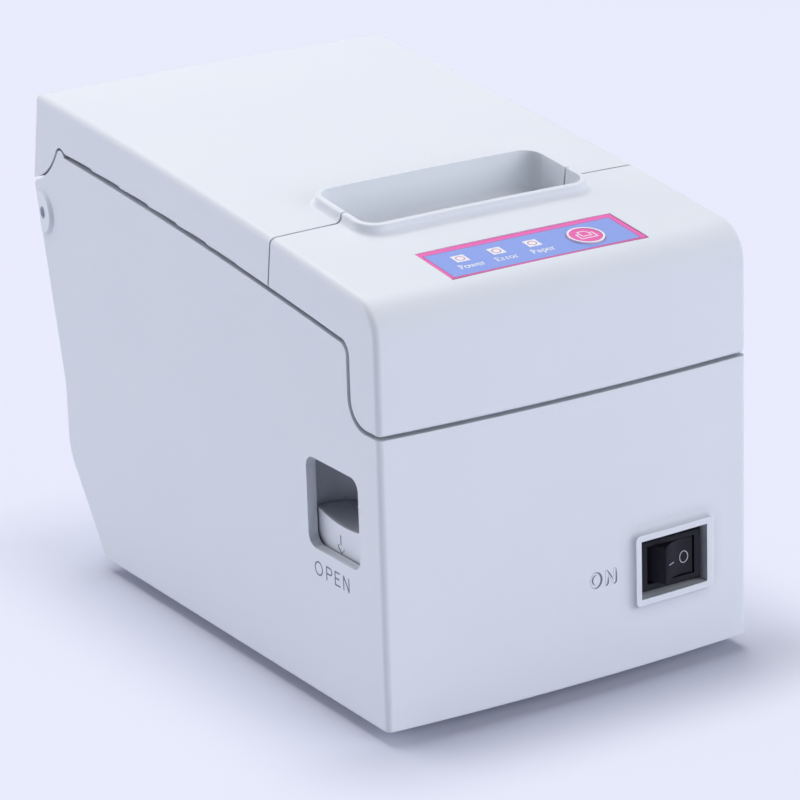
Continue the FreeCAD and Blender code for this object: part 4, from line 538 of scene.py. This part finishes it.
# Feed key: a pink printed cap inside a raised white ring, with the usual sign of a sheet over a tray.
# It slides in the hole of the film, and a darker pink on the far side of the rim is painted shade.
KEY_RING, KEY_RING_STROKE, KEY_RING_FOOT, KEY_RIM = 10.26, 0.58, -0.42, 4.36
flat_ring("key_ring", oval_pair((0, 0), (KEY_RING, KEY_RING), KEY_RING_STROKE), KEY_RING_FOOT, 0.06,
          on_key, white_ink, "button")
strokes("key_rim_painted_shade", [(arc((0, 0), (KEY_RIM, KEY_RIM), -80, 110), swell(0.4))], 0.03, on_key, rose_ink,
        "button")
pale_ink = printed_film("pale_pink_printed_sign", "FDEBF6", "F9E2F0", 0.4)
sign_paths = [[(-2.5, 0.9), (-2.5, -1.9)], [(-2.7, -1.9), (2.7, -1.9)], [(2.5, -1.9), (2.5, 0.9)],
              [(-2.7, 0.9), (-1.3, 0.9)], [(2.7, 0.9), (1.3, 0.9)],
              [(-1.4, -0.6), (-1.4, 2.3)], [(-1.6, 2.3), (0.5, 2.3)], [(0.5, 2.4), (1.4, 1.4)],
              [(1.4, 1.5), (1.4, -0.6)], [(-1.6, -0.6), (1.6, -0.6)]]
strokes("key_sign", [(line, 0.42) for line in sign_paths], 0.04, on_key, pale_ink, "button")

# Hinge pins: turned from white acetal and pressed into the ears of the case. Acetal has a slightly
# waxy gloss, so the pins' ends are a shade darker than the case.
white_acetal = moulded("white_acetal", "DDE0E8", "D6DAE3", 0.38, 0.8, 0.006, 6.0, 1.48)
dress(white_acetal, "hinge_pins")

# Studio floor: a roll of pale seamless paper, matt with a very faint mottle of its fibres.
FLOOR_REACH = 6.0
FOOTPRINT = (0.058, 0.093, 0.0)
SHADE_START, SHADE_END, SHADE_LIFT = 0.002, 0.045, 0.92
floor_mesh = bpy.data.meshes.new("floor")
floor_corners = rectangle(-FLOOR_REACH, -FLOOR_REACH, 2 * FLOOR_REACH, 2 * FLOOR_REACH)
floor_mesh.from_pydata(np.c_[floor_corners, np.zeros(4)].tolist(), [], [(0, 1, 2, 3)])
floor = bpy.data.objects.new("floor", floor_mesh)
bpy.context.scene.collection.objects.link(floor)
floor_paper, tree, shader, place = start_finish("seamless_paper")
fibre = put(tree, "ShaderNodeTexNoise", {"Scale": 1 / 0.4, "Detail": 2.0}, {"Vector": place})
tint = put(tree, "ShaderNodeMix", {6: linear("E8EBF9"), 7: linear("E4E7F5")},
           {0: fibre.outputs["Fac"]}, data_type="RGBA")
tree.links.new(tint.outputs[2], shader.inputs["Base Color"])
shader.inputs["Roughness"].default_value = 0.8
# Away from the printer the camera sees the sweep as evenly pale; round its foot the shadow stays.
aside = put(tree, "ShaderNodeVectorMath", {}, {0: place}, operation="ABSOLUTE")
beyond = put(tree, "ShaderNodeVectorMath", {1: FOOTPRINT}, {0: aside.outputs[0]}, operation="SUBTRACT")
beyond = put(tree, "ShaderNodeVectorMath", {1: (0.0, 0.0, 0.0)}, {0: beyond.outputs[0]}, operation="MAXIMUM")
away = put(tree, "ShaderNodeVectorMath", {}, {0: beyond.outputs[0]}, operation="LENGTH")
fade = put(tree, "ShaderNodeMapRange",
           {"From Min": SHADE_START, "From Max": SHADE_END, "To Min": 0.0, "To Max": SHADE_LIFT},
           {"Value": away.outputs["Value"]}, interpolation_type="SMOOTHSTEP")


def plainly_seen(tree):
    """1 for rays from the camera, from gloss and through clear stuff: the largest of the three flags."""
    path = put(tree, "ShaderNodeLightPath").outputs
    pair = put(tree, "ShaderNodeMath", {}, {0: path["Is Camera Ray"], 1: path["Is Glossy Ray"]},
               operation="MAXIMUM")
    return put(tree, "ShaderNodeMath", {}, {0: pair.outputs[0], 1: path["Is Transmission Ray"]},
               operation="MAXIMUM").outputs[0]


seen = put(tree, "ShaderNodeMath", {}, {0: fade.outputs["Result"], 1: plainly_seen(tree)},
           operation="MULTIPLY")
sweep = put(tree, "ShaderNodeEmission", {"Color": linear("EAECFD"), "Strength": 1.0})
mixed = put(tree, "ShaderNodeMixShader", {}, {0: seen.outputs[0], 1: shader.outputs[0], 2: sweep.outputs[0]})
tree.links.new(mixed.outputs[0], tree.nodes["Material Output"].inputs["Surface"])
floor.data.materials.append(floor_paper)

# Light tent: two lit panels of white cloth, low at the left rear and at the right front, and a weak
# one high at the front; the side of the camera is open and dark. The camera and reflections see
# plain pale cloth everywhere, and a broad softbox hangs overhead behind the printer.
world = bpy.data.worlds.new("light_tent")
bpy.context.scene.world = world
world.use_nodes = True
tree = world.node_tree
ray = put(tree, "ShaderNodeTexCoord").outputs["Generated"]


def lit_panel(azimuth, lift, spread, level):
    """Brightness of a lit panel: level * max(0, cosine of the angle to its middle) ** spread."""
    turn, rise = math.radians(azimuth), math.radians(lift)
    middle = (math.sin(turn) * math.cos(rise), -math.cos(turn) * math.cos(rise), math.sin(rise))
    near = put(tree, "ShaderNodeVectorMath", {1: middle}, {0: ray}, operation="DOT_PRODUCT")
    ahead = put(tree, "ShaderNodeMath", {1: 0.0}, {0: near.outputs["Value"]}, operation="MAXIMUM")
    fall = put(tree, "ShaderNodeMath", {1: spread}, {0: ahead.outputs[0]}, operation="POWER")
    return put(tree, "ShaderNodeMath", {1: level}, {0: fall.outputs[0]}, operation="MULTIPLY").outputs[0]


glow = put(tree, "ShaderNodeMath", {}, {0: lit_panel(-138, 5, 8, 4.3), 1: lit_panel(30, 5, 8, 4.6)},
           operation="ADD")
glow = put(tree, "ShaderNodeMath", {}, {0: glow.outputs[0], 1: lit_panel(10, 50, 6, 0.35)},
           operation="ADD")
cloth = put(tree, "ShaderNodeBackground", {"Color": linear("F4F6FF")}, {"Strength": glow.outputs[0]})
plain = put(tree, "ShaderNodeBackground", {"Color": linear("E6E9F8"), "Strength": 1.0})
mixed = put(tree, "ShaderNodeMixShader", {},
            {0: plainly_seen(tree), 1: cloth.outputs[0], 2: plain.outputs[0]})
tree.links.new(mixed.outputs[0], tree.nodes["World Output"].inputs["Surface"])


def softbox(name, at, target, size, power, colour):
    """Square area lamp that faces a point."""
    lamp = bpy.data.lights.new(name, "AREA")
    lamp.shape = "RECTANGLE"
    lamp.size, lamp.size_y = size
    lamp.energy = power
    lamp.color = linear(colour)[:3]
    holder = bpy.data.objects.new(name, lamp)
    holder.location = at
    holder.rotation_mode = "QUATERNION"
    holder.rotation_quaternion = (Vector(target) - Vector(at)).to_track_quat("-Z", "Y")
    bpy.context.scene.collection.objects.link(holder)


softbox("overhead", (0.05, 0.5, 1.4), (0, 0, 0.05), (1.2, 1.2), 15.2, "FFFFFF")

# Camera: long lens from the front left, looking down by 19 degrees, as in the photograph. Its focal
# length is given in pixels of the 800 by 800 picture.
FOCAL_PX, FRAME_PX, SENSOR_MM = 3868, 800, 36.0
CAMERA_PLACE = (-0.5354456, -0.8819199, 0.4133716)
yaw, pitch, roll = (math.radians(a) for a in (-31.53, 19.01, -1.81))
ahead = np.array([-math.sin(yaw) * math.cos(pitch), math.cos(yaw) * math.cos(pitch), -math.sin(pitch)])
right = np.array([math.cos(yaw), math.sin(yaw), 0.0])
down = np.cross(ahead, right)
across = math.cos(roll) * right - math.sin(roll) * down
upward = -(math.sin(roll) * right + math.cos(roll) * down)
lens = bpy.data.cameras.new("camera")
lens.sensor_width = SENSOR_MM
lens.lens = SENSOR_MM * FOCAL_PX / FRAME_PX
camera = bpy.data.objects.new("camera", lens)
camera.matrix_world = Matrix(np.column_stack([across, upward, -ahead]).tolist()).to_4x4()
camera.location = CAMERA_PLACE
lens.clip_end = 50.0
bpy.context.scene.collection.objects.link(camera)
bpy.context.scene.camera = camera
bpy.context.scene.view_settings.view_transform = "Standard"
